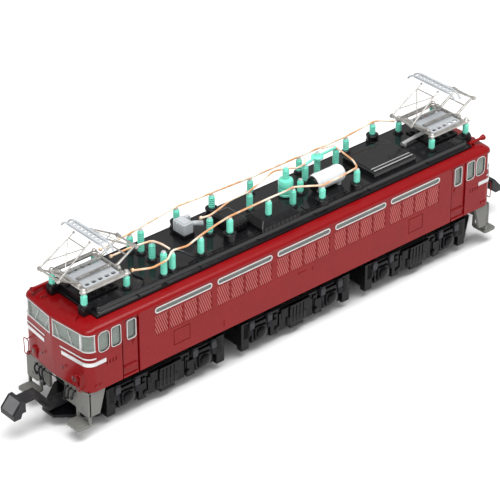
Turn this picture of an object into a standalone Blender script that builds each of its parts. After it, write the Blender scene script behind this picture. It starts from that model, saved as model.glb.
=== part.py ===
"""Model electric locomotive with three four-wheel bogies, at 1:150 for 9 mm track.

Every size below is in millimetres; MM turns it into metres where geometry is made.
+X runs along the locomotive, the first cab is at -X, and Z = 0 is what the wheel flanges stand on.
"""
import math

import bmesh
import bpy
from mathutils import Matrix, Vector

MM = 0.001
GAP = 0.08  # clearance between pieces that touch

# Body shell
CORNER_HALF_LENGTH = 52.65
NOSE = 0.75
BODY_WIDTH = 19.6
BODY_BOTTOM = 10.15
SHOULDER_BOTTOM = 22.8
SHOULDER_RISE = 1.1
CORNER_RADIUS = 1.9
WALL = 1.0
ROOF_HALF_LENGTH = 48.5
ROOF_HALF_WIDTH = 7.65

# Openings in the shell
CAB_WINDOW_BOTTOM = 18.15
CAB_WINDOW_TOP = 22.4
WINDSCREEN_BOTTOM = 19.0
WINDSCREEN_TOP = 22.45
WINDSCREEN_RETURN = 1.8
CENTRE_PILLAR = 0.7
QUARTER_WINDOW = (2.6, 5.0)  # from the corner plane, start and end
DROP_WINDOW = (5.6, 7.65)
DOOR = (8.1, 12.0)
DOOR_WINDOW = (9.25, 11.25)
DOOR_RECESS = 0.25
GROUP_PITCH = 15.04
GROUP_COUNT = 5
GROUP_HALF = 6.88
LOUVRE_BOTTOM = 16.25
LOUVRE_TOP = 20.6
LOUVRE_PANELS = 4
LOUVRE_POST = 0.35
LOUVRE_DEPTH = 0.25
LIGHT_HALF = 6.5
LIGHT_BOTTOM = 21.35
LIGHT_TOP = 22.1
GLASS = 0.5

# Roof
DECK = 25.5
DECK_THICKNESS = 0.8
DECK_SLOPE = 0.45
INSULATOR_RADIUS = 0.62
INSULATOR_FOOT = 0.5
STEM_RADIUS = 0.42
INSULATOR_HEIGHT = 3.3
RUNNER_HALF = 0.3
RUNNER_DEPTH = 0.7
CAVITY_TOP = 22.7
WIRE_RADIUS = 0.17

# Chassis, motor and drive
CHASSIS_HALF_LENGTH = 44.5
CHASSIS_HALF_WIDTH = 7.4
CHASSIS_BOTTOM = 8.9
CHASSIS_TOP = 19.6
MOTOR_HALF_LENGTH = 8.4
MOTOR_HALF_WIDTH = 5.9
MOTOR_HALF_HEIGHT = 3.5
FLYWHEEL_RADIUS = 3.4
FLYWHEEL_LENGTH = 6.6
MOTOR_SHAFT_RADIUS = 0.75
MODULE = 0.4
AXLE_TEETH = 11
IDLER_TEETH = 12
WORM_WHEEL_TEETH = 18
GEAR_HALF_WIDTH = 1.0
ADDENDUM = 0.24
DEDENDUM = 0.34
WORM_RADIUS = 1.15

# Bogies and wheels
BOGIE_SPACING = 33.0
WHEELBASE = 18.7
TREAD_RADIUS = 3.65
FLANGE_RADIUS = 4.2
FLANGE_WIDTH = 0.6
WHEEL_BACK = 3.7
WHEEL_WIDTH = 1.9
AXLE_RADIUS = 0.75
AXLE_HALF_LENGTH = 6.1
BOGIE_HALF_LENGTH = 14.3
SIDE_FRAME_INNER = 6.5
SIDE_FRAME_THICKNESS = 0.9
SIDE_FRAME_TOP = 7.7
TOWER_HALF_WIDTH = 2.5
TOWER_TOP = 15.0

# Pilots and couplers
PILOT_GAP_HALF = 2.4
PILOT_BOTTOM = 5.5
PILOT_THICKNESS = 0.7
COUPLER_PIVOT = 1.2  # beyond the bogie's end
COUPLER_HEIGHT = 4.2
COUPLER_REACH = 64.2
CARRIER_REACH = 55.2  # the plate under the pilot that carries the coupler

# Pantographs
PANTO_CENTRE = 44.3
PANTO_HALF_LENGTH = 4.9
PANTO_HALF_WIDTH = 4.8
PANTO_PLATE_HALF_WIDTH = 4.3
PANTO_BASE_Z = 28.35
PIVOT_HALF = 4.5
PIVOT_Z = 29.1
KNEE_HALF = 9.0
KNEE_Z = 31.7
HEAD_HALF_GAP = 0.7
HEAD_Z = 36.9
ROD = 0.2
LOWER_ARM_HALF_WIDTH = 2.3
UPPER_ARM_HALF_WIDTH = 2.35
STRIP_HALF_LENGTH = 5.3
HORN_HALF_LENGTH = 6.7

# What follows from the sizes above
HALF_WIDTH = BODY_WIDTH / 2
NOSE_END = CORNER_HALF_LENGTH + NOSE
ROOF_EDGE_Z = SHOULDER_BOTTOM + SHOULDER_RISE
AXLE_Z = FLANGE_RADIUS
HALF_BASE = WHEELBASE / 2


def pitch_radius(teeth):
    return MODULE * teeth / 2


IDLER_X = HALF_BASE - pitch_radius(AXLE_TEETH) - pitch_radius(IDLER_TEETH)
WORM_WHEEL_Z = AXLE_Z + math.sqrt(
    (pitch_radius(IDLER_TEETH) + pitch_radius(WORM_WHEEL_TEETH)) ** 2 - IDLER_X**2
)
SHAFT_Z = WORM_WHEEL_Z + pitch_radius(WORM_WHEEL_TEETH) + ADDENDUM + GAP + WORM_RADIUS

for old in list(bpy.data.objects):
    bpy.data.objects.remove(old)
bpy.context.scene.unit_settings.system = "METRIC"

PARTS = bpy.data.collections.new("electric_locomotive")
CUTTERS = bpy.data.collections.new("cutters")
CUTTERS.hide_render = True
for made in (PARTS, CUTTERS):
    bpy.context.scene.collection.children.link(made)


def paint(name, colour, roughness, metallic=0.0, alpha=1.0):
    material = bpy.data.materials.new(name)
    material.use_nodes = True
    shader = material.node_tree.nodes["Principled BSDF"]
    shader.inputs["Base Color"].default_value = (*colour, 1.0)
    shader.inputs["Roughness"].default_value = roughness
    shader.inputs["Metallic"].default_value = metallic
    shader.inputs["Alpha"].default_value = alpha
    material.diffuse_color = (*colour, alpha)
    return material


RED = paint("deep_red_paint", (0.34, 0.03, 0.035), 0.35)
ROOF_GREY = paint("roof_grey_black", (0.04, 0.04, 0.045), 0.5)
BLACK = paint("black_plastic", (0.015, 0.015, 0.017), 0.45)
GREY = paint("pilot_grey", (0.33, 0.33, 0.31), 0.5)
SILVER = paint("silver_paint", (0.62, 0.63, 0.65), 0.35, 0.6)
MINT = paint("mint_insulator", (0.2, 0.62, 0.48), 0.4)
COPPER = paint("copper_wire", (0.8, 0.5, 0.28), 0.3, 0.9)
CLEAR = paint("clear_glazing", (0.8, 0.85, 0.83), 0.05, 0.0, 0.35)
DIECAST = paint("die_cast_zinc", (0.28, 0.28, 0.29), 0.5, 0.8)
STEEL = paint("nickel_steel", (0.35, 0.34, 0.33), 0.3, 0.9)
BRASS = paint("brass", (0.75, 0.55, 0.25), 0.3, 0.9)
NYLON = paint("gear_nylon", (0.75, 0.73, 0.66), 0.5)
BOARD = paint("circuit_green", (0.04, 0.22, 0.08), 0.5)
TANK = paint("tank_white", (0.72, 0.73, 0.74), 0.4)
INTERIOR = paint("cab_interior", (0.35, 0.42, 0.36), 0.6)
DARK_GREY = paint("coupler_grey", (0.06, 0.06, 0.065), 0.5)


# --- shapes -------------------------------------------------------------------------------
def add_object(bm, name="shape"):
    """A helper object in the cutters collection, holding what bm describes in millimetres."""
    bmesh.ops.recalc_face_normals(bm, faces=bm.faces)
    bm.transform(Matrix.Scale(MM, 4))
    mesh = bpy.data.meshes.new(name)
    bm.to_mesh(mesh)
    bm.free()
    made = bpy.data.objects.new(name, mesh)
    CUTTERS.objects.link(made)
    made.hide_render = True
    made.display_type = "WIRE"
    return made


def block(low, high):
    bm = bmesh.new()
    size = [b - a for a, b in zip(low, high)]
    middle = [(a + b) / 2 for a, b in zip(low, high)]
    bmesh.ops.create_cube(bm, matrix=Matrix.Translation(middle) @ Matrix.Diagonal((*size, 1)))
    return add_object(bm)


TURN = {
    "X": Matrix.Rotation(math.pi / 2, 4, "Y"),
    "Y": Matrix.Rotation(-math.pi / 2, 4, "X"),
    "Z": Matrix.Identity(4),
}


def drum(centre, radius, length, axis="Y", sides=12, end_radius=None):
    """A cylinder or a cone about an axis through centre."""
    bm = bmesh.new()
    end_radius = radius if end_radius is None else end_radius
    bmesh.ops.create_cone(
        bm, cap_ends=True, segments=sides, radius1=radius, radius2=end_radius, depth=length,
        matrix=Matrix.Translation(centre) @ TURN[axis],
    )
    return add_object(bm)


def prism(outline, axis, start, end):
    """An outline extruded along an axis: (x, z) points along Y, (y, z) along X, (x, y) along Z."""
    place = {
        "X": lambda a, b: (start, a, b), "Y": lambda a, b: (a, start, b), "Z": lambda a, b: (a, b, start),
    }[axis]
    along = Vector([float(axis == name) for name in "XYZ"]) * (end - start)
    bm = bmesh.new()
    face = bm.faces.new([bm.verts.new(place(*point)) for point in outline])
    grown = bmesh.ops.extrude_face_region(bm, geom=[face])["geom"]
    bmesh.ops.translate(bm, vec=along, verts=[v for v in grown if isinstance(v, bmesh.types.BMVert)])
    return add_object(bm)


def loft(rings, close_bottom=False, close_top=False):
    bm = bmesh.new()
    made = [[bm.verts.new(point) for point in ring] for ring in rings]
    for lower, upper in zip(made, made[1:]):
        for i in range(len(lower)):
            j = (i + 1) % len(lower)
            bm.faces.new((lower[i], lower[j], upper[j], upper[i]))
    if close_bottom:
        bm.faces.new(made[0])
    if close_top:
        bm.faces.new(made[-1])
    return add_object(bm)


def rod(points, radius, resolution=1):
    """A straight-sided wire through the points, as a closed mesh."""
    curve = bpy.data.curves.new("rod", "CURVE")
    curve.dimensions = "3D"
    curve.bevel_depth = radius * MM
    curve.bevel_resolution = resolution
    curve.use_fill_caps = True
    spline = curve.splines.new("POLY")
    spline.points.add(len(points) - 1)
    for target, point in zip(spline.points, points):
        target.co = (*[value * MM for value in point], 1.0)
    holder = bpy.data.objects.new("rod", curve)
    CUTTERS.objects.link(holder)
    graph = bpy.context.evaluated_depsgraph_get()
    mesh = bpy.data.meshes.new_from_object(holder.evaluated_get(graph))
    bpy.data.objects.remove(holder)
    bm = bmesh.new()
    bm.from_mesh(mesh)
    bmesh.ops.remove_doubles(bm, verts=bm.verts, dist=1e-6)
    bm.transform(Matrix.Scale(1 / MM, 4))
    return add_object(bm)


def baked(shape):
    """The same object with its modifiers made real."""
    graph = bpy.context.evaluated_depsgraph_get()
    mesh = bpy.data.meshes.new_from_object(shape.evaluated_get(graph))
    shape.modifiers.clear()
    shape.data = mesh
    return shape


def combine(shape, others, operation):
    if not others:
        return shape
    group = bpy.data.collections.new("operands")
    for other in others:
        group.objects.link(other)
    boolean = shape.modifiers.new(operation.lower(), "BOOLEAN")
    boolean.operation = operation
    boolean.operand_type = "COLLECTION"
    boolean.collection = group
    boolean.solver = "EXACT"
    baked(shape)
    for other in others:
        bpy.data.objects.remove(other)
    bpy.data.collections.remove(group)
    return shape


def solidify(shape, thickness):
    thick = shape.modifiers.new("wall", "SOLIDIFY")
    thick.thickness = thickness * MM
    thick.offset = -1
    thick.use_even_offset = True
    return baked(shape)


def part(name, material, pieces, cuts=(), turned_end=False):
    """One named sub-part: the union of its pieces, less the cuts; turned_end puts it at the +X end."""
    made = combine(pieces[0], list(pieces[1:]), "UNION")
    combine(made, list(cuts), "DIFFERENCE")
    if turned_end:
        made.data.transform(Matrix.Rotation(math.pi, 4, "Z"))
    CUTTERS.objects.unlink(made)
    PARTS.objects.link(made)
    made.name = made.data.name = name
    made.hide_render = False
    made.display_type = "TEXTURED"
    made.data.materials.clear()
    made.data.materials.append(material)
    return made


def turn_object(made, matrix):
    made.data.transform(matrix)
    return made


# --- body shell, glazing and cabs -----------------------------------------------------------
def body_outline(inset_x, inset_y, z, steps=3):
    """The plan outline of the body, drawn in by inset_x at the ends and inset_y at the sides."""
    radius = max(CORNER_RADIUS - inset_y, 0.35)
    x, y = CORNER_HALF_LENGTH - inset_x, HALF_WIDTH - inset_y
    points = []
    for index, (sx, sy) in enumerate(((1, 1), (-1, 1), (-1, -1), (1, -1))):
        middle = (sx * (x - radius), sy * (y - radius))
        for step in range(steps + 1):
            angle = math.radians(90 * index + 90 * step / steps)
            points.append((middle[0] + radius * math.cos(angle), middle[1] + radius * math.sin(angle), z))
        if index == 1:
            points.append((-x - NOSE, 0, z))
    points.append((x + NOSE, 0, z))
    return points


def shoulder_rings(steps=4):
    inset_x = CORNER_HALF_LENGTH - ROOF_HALF_LENGTH
    inset_y = HALF_WIDTH - ROOF_HALF_WIDTH
    for step in range(steps + 1):
        angle = math.radians(90 * step / steps)
        z = SHOULDER_BOTTOM + SHOULDER_RISE * math.sin(angle)
        share = 1 - math.cos(angle)
        yield body_outline(inset_x * share, inset_y * share, z)


def both_sides(low, high):
    """The same box on both long sides; low and high give x, distance from the middle plane, and z."""
    yield block(low, high)
    yield block((low[0], -high[1], low[2]), (high[0], -low[1], high[2]))


def both_ends(low, high):
    for end in (-1, 1):
        x_low, x_high = sorted((end * low[0], end * high[0]))
        yield from both_sides((x_low, *low[1:]), (x_high, *high[1:]))


def from_corner(distance):
    return CORNER_HALF_LENGTH - distance


def window_cuts():
    outside, inside = HALF_WIDTH + 1, HALF_WIDTH - WALL - 1
    for start, end, low, high in (
        (*QUARTER_WINDOW, CAB_WINDOW_BOTTOM, CAB_WINDOW_TOP),
        (*DROP_WINDOW, CAB_WINDOW_BOTTOM, CAB_WINDOW_TOP),
        (*DOOR_WINDOW, CAB_WINDOW_BOTTOM, CAB_WINDOW_TOP),
    ):
        yield from both_ends((from_corner(end), inside, low), (from_corner(start), outside, high))
    yield from both_ends(
        (from_corner(WINDSCREEN_RETURN), CENTRE_PILLAR / 2, WINDSCREEN_BOTTOM),
        (NOSE_END + 1, outside, WINDSCREEN_TOP),
    )
    yield from both_ends(
        (from_corner(DOOR[1]), HALF_WIDTH - DOOR_RECESS, BODY_BOTTOM - 1),
        (from_corner(DOOR[0]), outside, SHOULDER_BOTTOM - 0.1),
    )


def group_centres():
    for index in range(GROUP_COUNT):
        yield (index - (GROUP_COUNT - 1) / 2) * GROUP_PITCH


def louvre_cuts():
    width = (2 * GROUP_HALF - (LOUVRE_PANELS - 1) * LOUVRE_POST) / LOUVRE_PANELS
    for centre in group_centres():
        for panel in range(LOUVRE_PANELS):
            start = centre - GROUP_HALF + panel * (width + LOUVRE_POST)
            yield from both_sides(
                (start, HALF_WIDTH - LOUVRE_DEPTH, LOUVRE_BOTTOM), (start + width, HALF_WIDTH + 1, LOUVRE_TOP)
            )
        yield from both_sides(
            (centre - LIGHT_HALF, HALF_WIDTH - WALL - 1, LIGHT_BOTTOM),
            (centre + LIGHT_HALF, HALF_WIDTH + 1, LIGHT_TOP),
        )


def body_shell():
    shell = loft([body_outline(0, 0, BODY_BOTTOM), *shoulder_rings()], close_bottom=True, close_top=True)
    cavity = loft(
        [body_outline(WALL, WALL, z) for z in (BODY_BOTTOM - 1, CAVITY_TOP)], close_bottom=True, close_top=True
    )
    opening = block(
        (-ROOF_HALF_LENGTH, -ROOF_HALF_WIDTH, CAVITY_TOP - 1), (ROOF_HALF_LENGTH, ROOF_HALF_WIDTH, ROOF_EDGE_Z + 1)
    )
    stems = []
    for x, y, _, _ in outer_posts():
        stems.append(drum((x, y, ROOF_EDGE_Z), STEM_RADIUS + GAP, 6, "Z", 6))
    part("body_shell", RED, [shell], [cavity, opening, *stems, *window_cuts(), *louvre_cuts()])


def windscreen(name, turned_end):
    """A clear band behind the windscreens and the cab's side windows, open to the rear."""
    inset = WALL + GAP
    rings = [body_outline(inset, inset, z) for z in (CAB_WINDOW_BOTTOM - 0.5, CAVITY_TOP - GAP)]
    band = solidify(loft(rings), GLASS)
    rear = block((-from_corner(DOOR[0]) + 0.2, -BODY_WIDTH, 0), (NOSE_END + 1, BODY_WIDTH, 2 * DECK))
    part(name, CLEAR, [band], [rear], turned_end)


def side_glazing(name, side):
    """A clear strip behind the door windows and the long upper lights of one side."""
    outer = HALF_WIDTH - WALL - GAP
    end = from_corner(DOOR[0]) - 0.2 - GAP
    low, high = sorted((side * outer, side * (outer - GLASS)))
    strip = block((-end, low, LIGHT_BOTTOM - 0.5), (end, high, CAB_WINDOW_TOP + 0.3))
    drops = [
        block(
            (x - 1.4, low, CAB_WINDOW_BOTTOM - 0.5), (x + 1.4, high, LIGHT_BOTTOM)
        )
        for x in (-end + 1.4, end - 1.4)
    ]
    part(name, CLEAR, [strip, *drops])


def cab(name, turned_end):
    """Floor, desk, two seats and the rear wall of one cab."""
    half = HALF_WIDTH - WALL - GLASS - 3 * GAP - 0.4
    front = -CORNER_HALF_LENGTH + WALL + GLASS + 0.4
    rear = -CHASSIS_HALF_LENGTH - 0.25
    floor = block((front, -half, 16.2), (rear, half, 16.9))
    wall = block((rear - 0.5, -half, 16.2), (rear, half, 21.6))
    desk = block((front, -half + 0.4, 16.5), (front + 1.6, half - 0.4, 18.4))
    seats = []
    for y in (-4.2, 4.2):
        seats.append(block((rear - 2.9, y - 1.1, 16.5), (rear - 1.2, y + 1.1, 17.9)))
        seats.append(block((rear - 1.6, y - 1.1, 16.5), (rear - 1.1, y + 1.1, 19.6)))
    part(name, INTERIOR, [floor, wall, desk, *seats], turned_end=turned_end)


# --- roof -------------------------------------------------------------------------------------
def panel_outline(inset, z):
    x = ROOF_HALF_LENGTH - GAP - inset
    y = ROOF_HALF_WIDTH - GAP - inset
    return [(x, y, z), (-x, y, z), (-x, -y, z), (x, -y, z)]


# Each insulator: x, y, the height of what it stands on above the deck, and its own height.
NEAR_ROW = {
    "front_pantograph_front": (-PANTO_CENTRE - PANTO_HALF_LENGTH, -PANTO_HALF_WIDTH, 0, 2.2),
    "front_pantograph_rear": (-PANTO_CENTRE + PANTO_HALF_LENGTH, -PANTO_HALF_WIDTH, 0, 2.2),
    "tall_post": (-31.7, -6.2, 0, 4.7),
    "front_post": (-29.3, -5.7, 0, INSULATOR_HEIGHT),
    "breaker_post": (-21.8, -5.0, 0, INSULATOR_HEIGHT),
    "front_drum_post": (-14.7, -5.1, 2.2, 3.0),
    "hipped_box_post": (-4.7, -4.8, 2.0, 3.1),
    "centre_post": (3.2, -3.0, 0, INSULATOR_HEIGHT),
    "tank_post": (8.2, -6.0, 1.3, 2.3),
    "rear_drum_post": (17.4, -6.0, 1.4, 2.8),
    "rear_pantograph_front": (PANTO_CENTRE - PANTO_HALF_LENGTH, -PANTO_HALF_WIDTH, 0, 2.2),
    "rear_pantograph_rear": (PANTO_CENTRE + PANTO_HALF_LENGTH, -PANTO_HALF_WIDTH, 0, 2.2),
}
MIDDLE_ROW = {
    "tall_crossing_post": (-29.9, 2.8, 0, 4.6),
    "crossing_post": (-29.9, -0.5, 0, INSULATOR_HEIGHT),
    "inner_post": (-15.7, -0.4, 0, 3.1),
    "box_post": (-4.2, 1.3, 0, INSULATOR_HEIGHT),
    "low_post": (7.6, -0.3, 0, 2.6),
    "lever_post": (11.3, 2.4, 0, INSULATOR_HEIGHT),
    "tall_lever_post": (14.6, 2.5, 0, 4.9),
    "end_post": (20.3, 3.2, 0, INSULATOR_HEIGHT),
}
FAR_ROW = {
    "front_pantograph_front": (-PANTO_CENTRE - PANTO_HALF_LENGTH, PANTO_HALF_WIDTH, 0, 2.2),
    "front_pantograph_rear": (-PANTO_CENTRE + PANTO_HALF_LENGTH, PANTO_HALF_WIDTH, 0, 2.2),
    "front_post": (-31.1, 4.6, 0, 3.0),
    "breaker_post": (-18.9, 5.7, 1.6, 2.5),
    "drum_post": (-11.0, 4.6, 1.9, 2.7),
    "second_post": (0.1, 6.1, 0, 2.6),
    "third_post": (13.0, 6.1, 0, 2.6),
    "fourth_post": (25.7, 6.0, 0, 2.6),
    "fifth_post": (33.0, 5.9, 1.6, 2.3),
    "rear_pantograph_front": (PANTO_CENTRE - PANTO_HALF_LENGTH, PANTO_HALF_WIDTH, 0, 2.2),
    "rear_pantograph_rear": (PANTO_CENTRE + PANTO_HALF_LENGTH, PANTO_HALF_WIDTH, 0, 2.2),
}
RUNNER_Y = {"near": -4.8, "middle": 1.1, "far": 4.8}
ROUND_STAND = 1.2
HATCH = (22.3, 34.0, -6.0, 3.4, 1.2)  # x from, x to, y from, y to, height above the deck
RIBBED_BOX = (-12.9, -8.6, -3.7, 2.6, 2.3)
HIPPED_BOX = (-8.2, 1.6, -7.0, -0.9, 2.0)
TANK_ENDS = (9.2, 17.2)
TANK_Y = -1.9
TANK_RADIUS = 1.75


def posts(row):
    return list(row.values())


def outer_posts():
    """The pantograph insulators that stand outside the roof panel, on brackets."""
    for post in posts(NEAR_ROW) + posts(FAR_ROW):
        if abs(post[0]) > PANTO_CENTRE:
            yield post


def roof_panel():
    slope = DECK - 0.2
    rings = [
        panel_outline(0, ROOF_EDGE_Z - 0.9), panel_outline(0, ROOF_EDGE_Z + 0.05),
        panel_outline(DECK_SLOPE - 0.15, slope), panel_outline(DECK_SLOPE, DECK),
    ]
    panel = solidify(loft(rings, close_top=True), DECK_THICKNESS)
    raised = []
    holes = []
    on_box = NEAR_ROW["hipped_box_post"]
    for post in posts(NEAR_ROW) + posts(MIDDLE_ROW) + posts(FAR_ROW):
        x, y, stand, _ = post
        if post == on_box:
            pass
        elif stand:
            raised.append(drum((x, y, DECK + stand / 2 - 0.1), ROUND_STAND, stand + 0.2, "Z", 10))
        else:
            raised.append(drum((x, y, DECK + INSULATOR_FOOT / 2 - 0.1), 0.9, INSULATOR_FOOT + 0.2, "Z", 8))
        holes.append(drum((x, y, DECK), STEM_RADIUS + GAP, 7, "Z", 6))
    for x, y, _, _ in outer_posts():
        end = math.copysign(1, x)
        low, high = sorted((x + end * 0.9, end * (ROOF_HALF_LENGTH - 1.0)))
        raised.append(block((low, y - 0.9, ROOF_EDGE_Z + GAP + 0.05), (high, y + 0.9, DECK + 0.1)))
    x0, x1, y0, y1, height = HATCH
    raised.append(block((x0, y0, DECK - 0.3), (x1, y1, DECK + height)))
    x0, x1, y0, y1, height = RIBBED_BOX
    raised.append(block((x0, y0, DECK - 0.3), (x1, y1, DECK + height)))
    part("roof_panel", ROOF_GREY, [panel, *raised], holes)


def insulator_row(name, row, runner_y):
    """One moulding: insulators that stand through the roof, joined by a runner beneath it."""
    top = CAVITY_TOP - GAP
    low = top - RUNNER_DEPTH
    xs = [post[0] for post in posts(row)]
    half = RUNNER_HALF
    pieces = [block((min(xs) - 0.5, runner_y - half, low), (max(xs) + 0.5, runner_y + half, top))]
    for x, y, stand, height in posts(row):
        foot = DECK + stand + INSULATOR_FOOT * (stand == 0) + GAP
        if abs(y - runner_y) > half:
            near, far = sorted((y, runner_y))
            pieces.append(block((x - 0.5, near - 0.5, low + 0.1), (x + 0.5, far + 0.1, top - 0.1)))
        pieces.append(drum((x, y, (foot + 0.3 + low + 0.3) / 2), STEM_RADIUS, foot - low, "Z", 6))
        pieces.append(drum((x, y, foot + height / 2), INSULATOR_RADIUS, height, "Z", 8))
    part(name, MINT, pieces)


def post_top(row, name, lift=0.0):
    x, y, stand, height = row[name]
    z = DECK + stand + INSULATOR_FOOT * (stand == 0) + height + 4 * GAP + WIRE_RADIUS
    return (x, y, z + lift)


def busbars():
    start = -PANTO_CENTRE + PANTO_HALF_LENGTH + 1.3
    frame = PANTO_BASE_Z + 0.3
    near = [
        (start, -PANTO_HALF_WIDTH, frame), (-35.0, -7.0, 29.0), (-31.7, -7.2, 29.4), (-30.6, -6.6, 29.6),
        post_top(NEAR_ROW, "front_post"), (-25.6, -5.8, 29.4), post_top(NEAR_ROW, "breaker_post"),
        (-17.4, -5.0, 30.7), post_top(NEAR_ROW, "front_drum_post"), post_top(NEAR_ROW, "hipped_box_post"),
        (0.3, -4.0, 30.4), post_top(NEAR_ROW, "centre_post"), (5.6, -4.4, 29.7),
        post_top(NEAR_ROW, "tank_post"), (13.0, -6.2, 29.9), post_top(NEAR_ROW, "rear_drum_post"),
        (19.0, -3.2, 29.9), post_top(MIDDLE_ROW, "end_post"), (21.0, 4.6, 29.4), (18.4, 5.4, 29.2),
    ]
    middle = [
        (start, 1.6, frame), (-34.0, 1.2, 29.0),
        post_top(MIDDLE_ROW, "crossing_post"), (-29.4, -2.6, 29.9), (-29.3, -5.0, 29.75),
    ]
    centre = [
        (-17.2, 0.6, 29.15), post_top(MIDDLE_ROW, "inner_post"), (-13.2, -0.2, 30.0), (-9.4, 0.9, 30.0),
        post_top(MIDDLE_ROW, "box_post"), (1.6, 3.4, 29.6), (4.0, 3.6, 30.2),
        (6.4, 2.8, 30.2), (8.9, 1.9, 29.8), post_top(MIDDLE_ROW, "lever_post"), (12.9, 4.2, 29.5),
    ]
    far = [
        (start, PANTO_HALF_WIDTH, frame), (-35.4, 4.8, 29.0),
        *[post_top(FAR_ROW, name) for name in ("front_post", "breaker_post", "drum_post")],
        *[post_top(FAR_ROW, name) for name in ("second_post", "third_post", "fourth_post", "fifth_post")], (34.6, 5.7, 29.7),
        (PANTO_CENTRE - PANTO_HALF_LENGTH - 1.3, PANTO_HALF_WIDTH, frame),
    ]
    for name, points in (
        ("near_busbar", near), ("crossing_busbar", middle), ("centre_busbar", centre), ("far_busbar", far),
    ):
        part(name, COPPER, [rod(points, WIRE_RADIUS)])


def roof_equipment():
    base = DECK + GAP
    box = block((-21.0, 0.9, base + 0.7), (-18.6, 4.3, base + 3.2))
    foot = block((-21.1, 0.7, base), (-18.5, 4.3, base + 0.9))
    arm = rod([(-18.9, 2.2, base + 2.3), (-16.2, 0.9, base + 2.0)], 0.5)
    knob = block((-18.8, 2.9, base + 2.0), (-17.6, 3.8, base + 3.4))
    part("air_blast_breaker", SILVER, [box, foot, arm, knob])

    middle = sum(TANK_ENDS) / 2
    length = TANK_ENDS[1] - TANK_ENDS[0]
    tank_z = base + TANK_RADIUS + 0.35
    tank = drum((middle, TANK_Y, tank_z), TANK_RADIUS, length, "X", 20)
    feet = [
        block((x - 0.4, TANK_Y - 1.2, base), (x + 0.4, TANK_Y + 1.2, tank_z))
        for x in (TANK_ENDS[0] + 1.5, TANK_ENDS[1] - 1.5)
    ]
    part("air_tank", TANK, [tank, *feet])

    x0, x1, y0, y1, height = HIPPED_BOX
    slope = 1.1
    corners = ((x1, y1), (x0, y1), (x0, y0), (x1, y0))
    rings = []
    for inset, z in ((0, 0), (0, height * 0.45), (slope, height)):
        rings.append([
            (x - math.copysign(inset, x - (x0 + x1) / 2), y - math.copysign(inset, y - (y0 + y1) / 2), base + z)
            for x, y in corners
        ])
    hood = loft(rings, close_bottom=True, close_top=True)
    post = NEAR_ROW["hipped_box_post"]
    hole = drum((post[0], post[1], base), STEM_RADIUS + GAP, 12, "Z", 6)
    neighbour = NEAR_ROW["centre_post"]
    cut = drum((neighbour[0], neighbour[1], base), 0.9 + 2 * GAP, 12, "Z", 8)
    part("resistor_box", BLACK, [hood], [hole, cut])

    foot = drum((5.0, 1.1, base + 0.3), 1.8, 0.6, "Z", 16)
    column = drum((5.0, 1.1, base + 2.4), 1.45, 4.2, "Z", 16)
    neck = drum((5.0, 1.1, base + 5.2), 0.6, 1.6, "Z", 10)
    part("voltage_transformer", MINT, [foot, column, neck])


# --- chassis, board and motor ------------------------------------------------------------------
def chassis(name, side):
    inner, outer = 0.05, CHASSIS_HALF_WIDTH
    low, high = sorted((side * inner, side * outer))
    frame = block((-CHASSIS_HALF_LENGTH, low, CHASSIS_BOTTOM), (CHASSIS_HALF_LENGTH, high, CHASSIS_TOP))
    motor_end = MOTOR_HALF_LENGTH + 0.3
    wheel_end = motor_end + FLYWHEEL_LENGTH + 0.9
    room = FLYWHEEL_RADIUS + 0.4
    tower = HALF_BASE + 0.6
    cuts = [
        block((-motor_end, -MOTOR_HALF_WIDTH - 0.1, 0), (motor_end, MOTOR_HALF_WIDTH + 0.1, SHAFT_Z + 4.0)),
        block((-wheel_end, -room, 0), (wheel_end, room, SHAFT_Z + room)),
        block((-BOGIE_SPACING, -3.1, SHAFT_Z - 1.6), (BOGIE_SPACING, 3.1, SHAFT_Z + 1.6)),
    ]
    for end in (-1, 1):
        x = end * BOGIE_SPACING
        cuts.append(block((x - tower, -4.6, 0), (x + tower, 4.6, TOWER_TOP + 0.4)))
        cuts.append(drum((x, 0, TOWER_TOP + 0.8), 1.4, 2.4, "Z", 12))
    part(name, DIECAST, [frame], cuts)


def circuit_board():
    z = CHASSIS_TOP + GAP
    plate = block((-41, -5.5, z), (41, 5.5, z + 0.7))
    chips = [block((x, -2.0, z + 0.5), (x + 3.0, 2.0, z + 1.5)) for x in (-22.0, -6.0, 8.0)]
    lamps = [block((x - 0.8, -1.2, z + 0.5), (x + 0.8, 1.2, z + 1.9)) for x in (-39.8, 39.8)]
    part("circuit_board", BOARD, [plate, *chips, *lamps])


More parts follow.
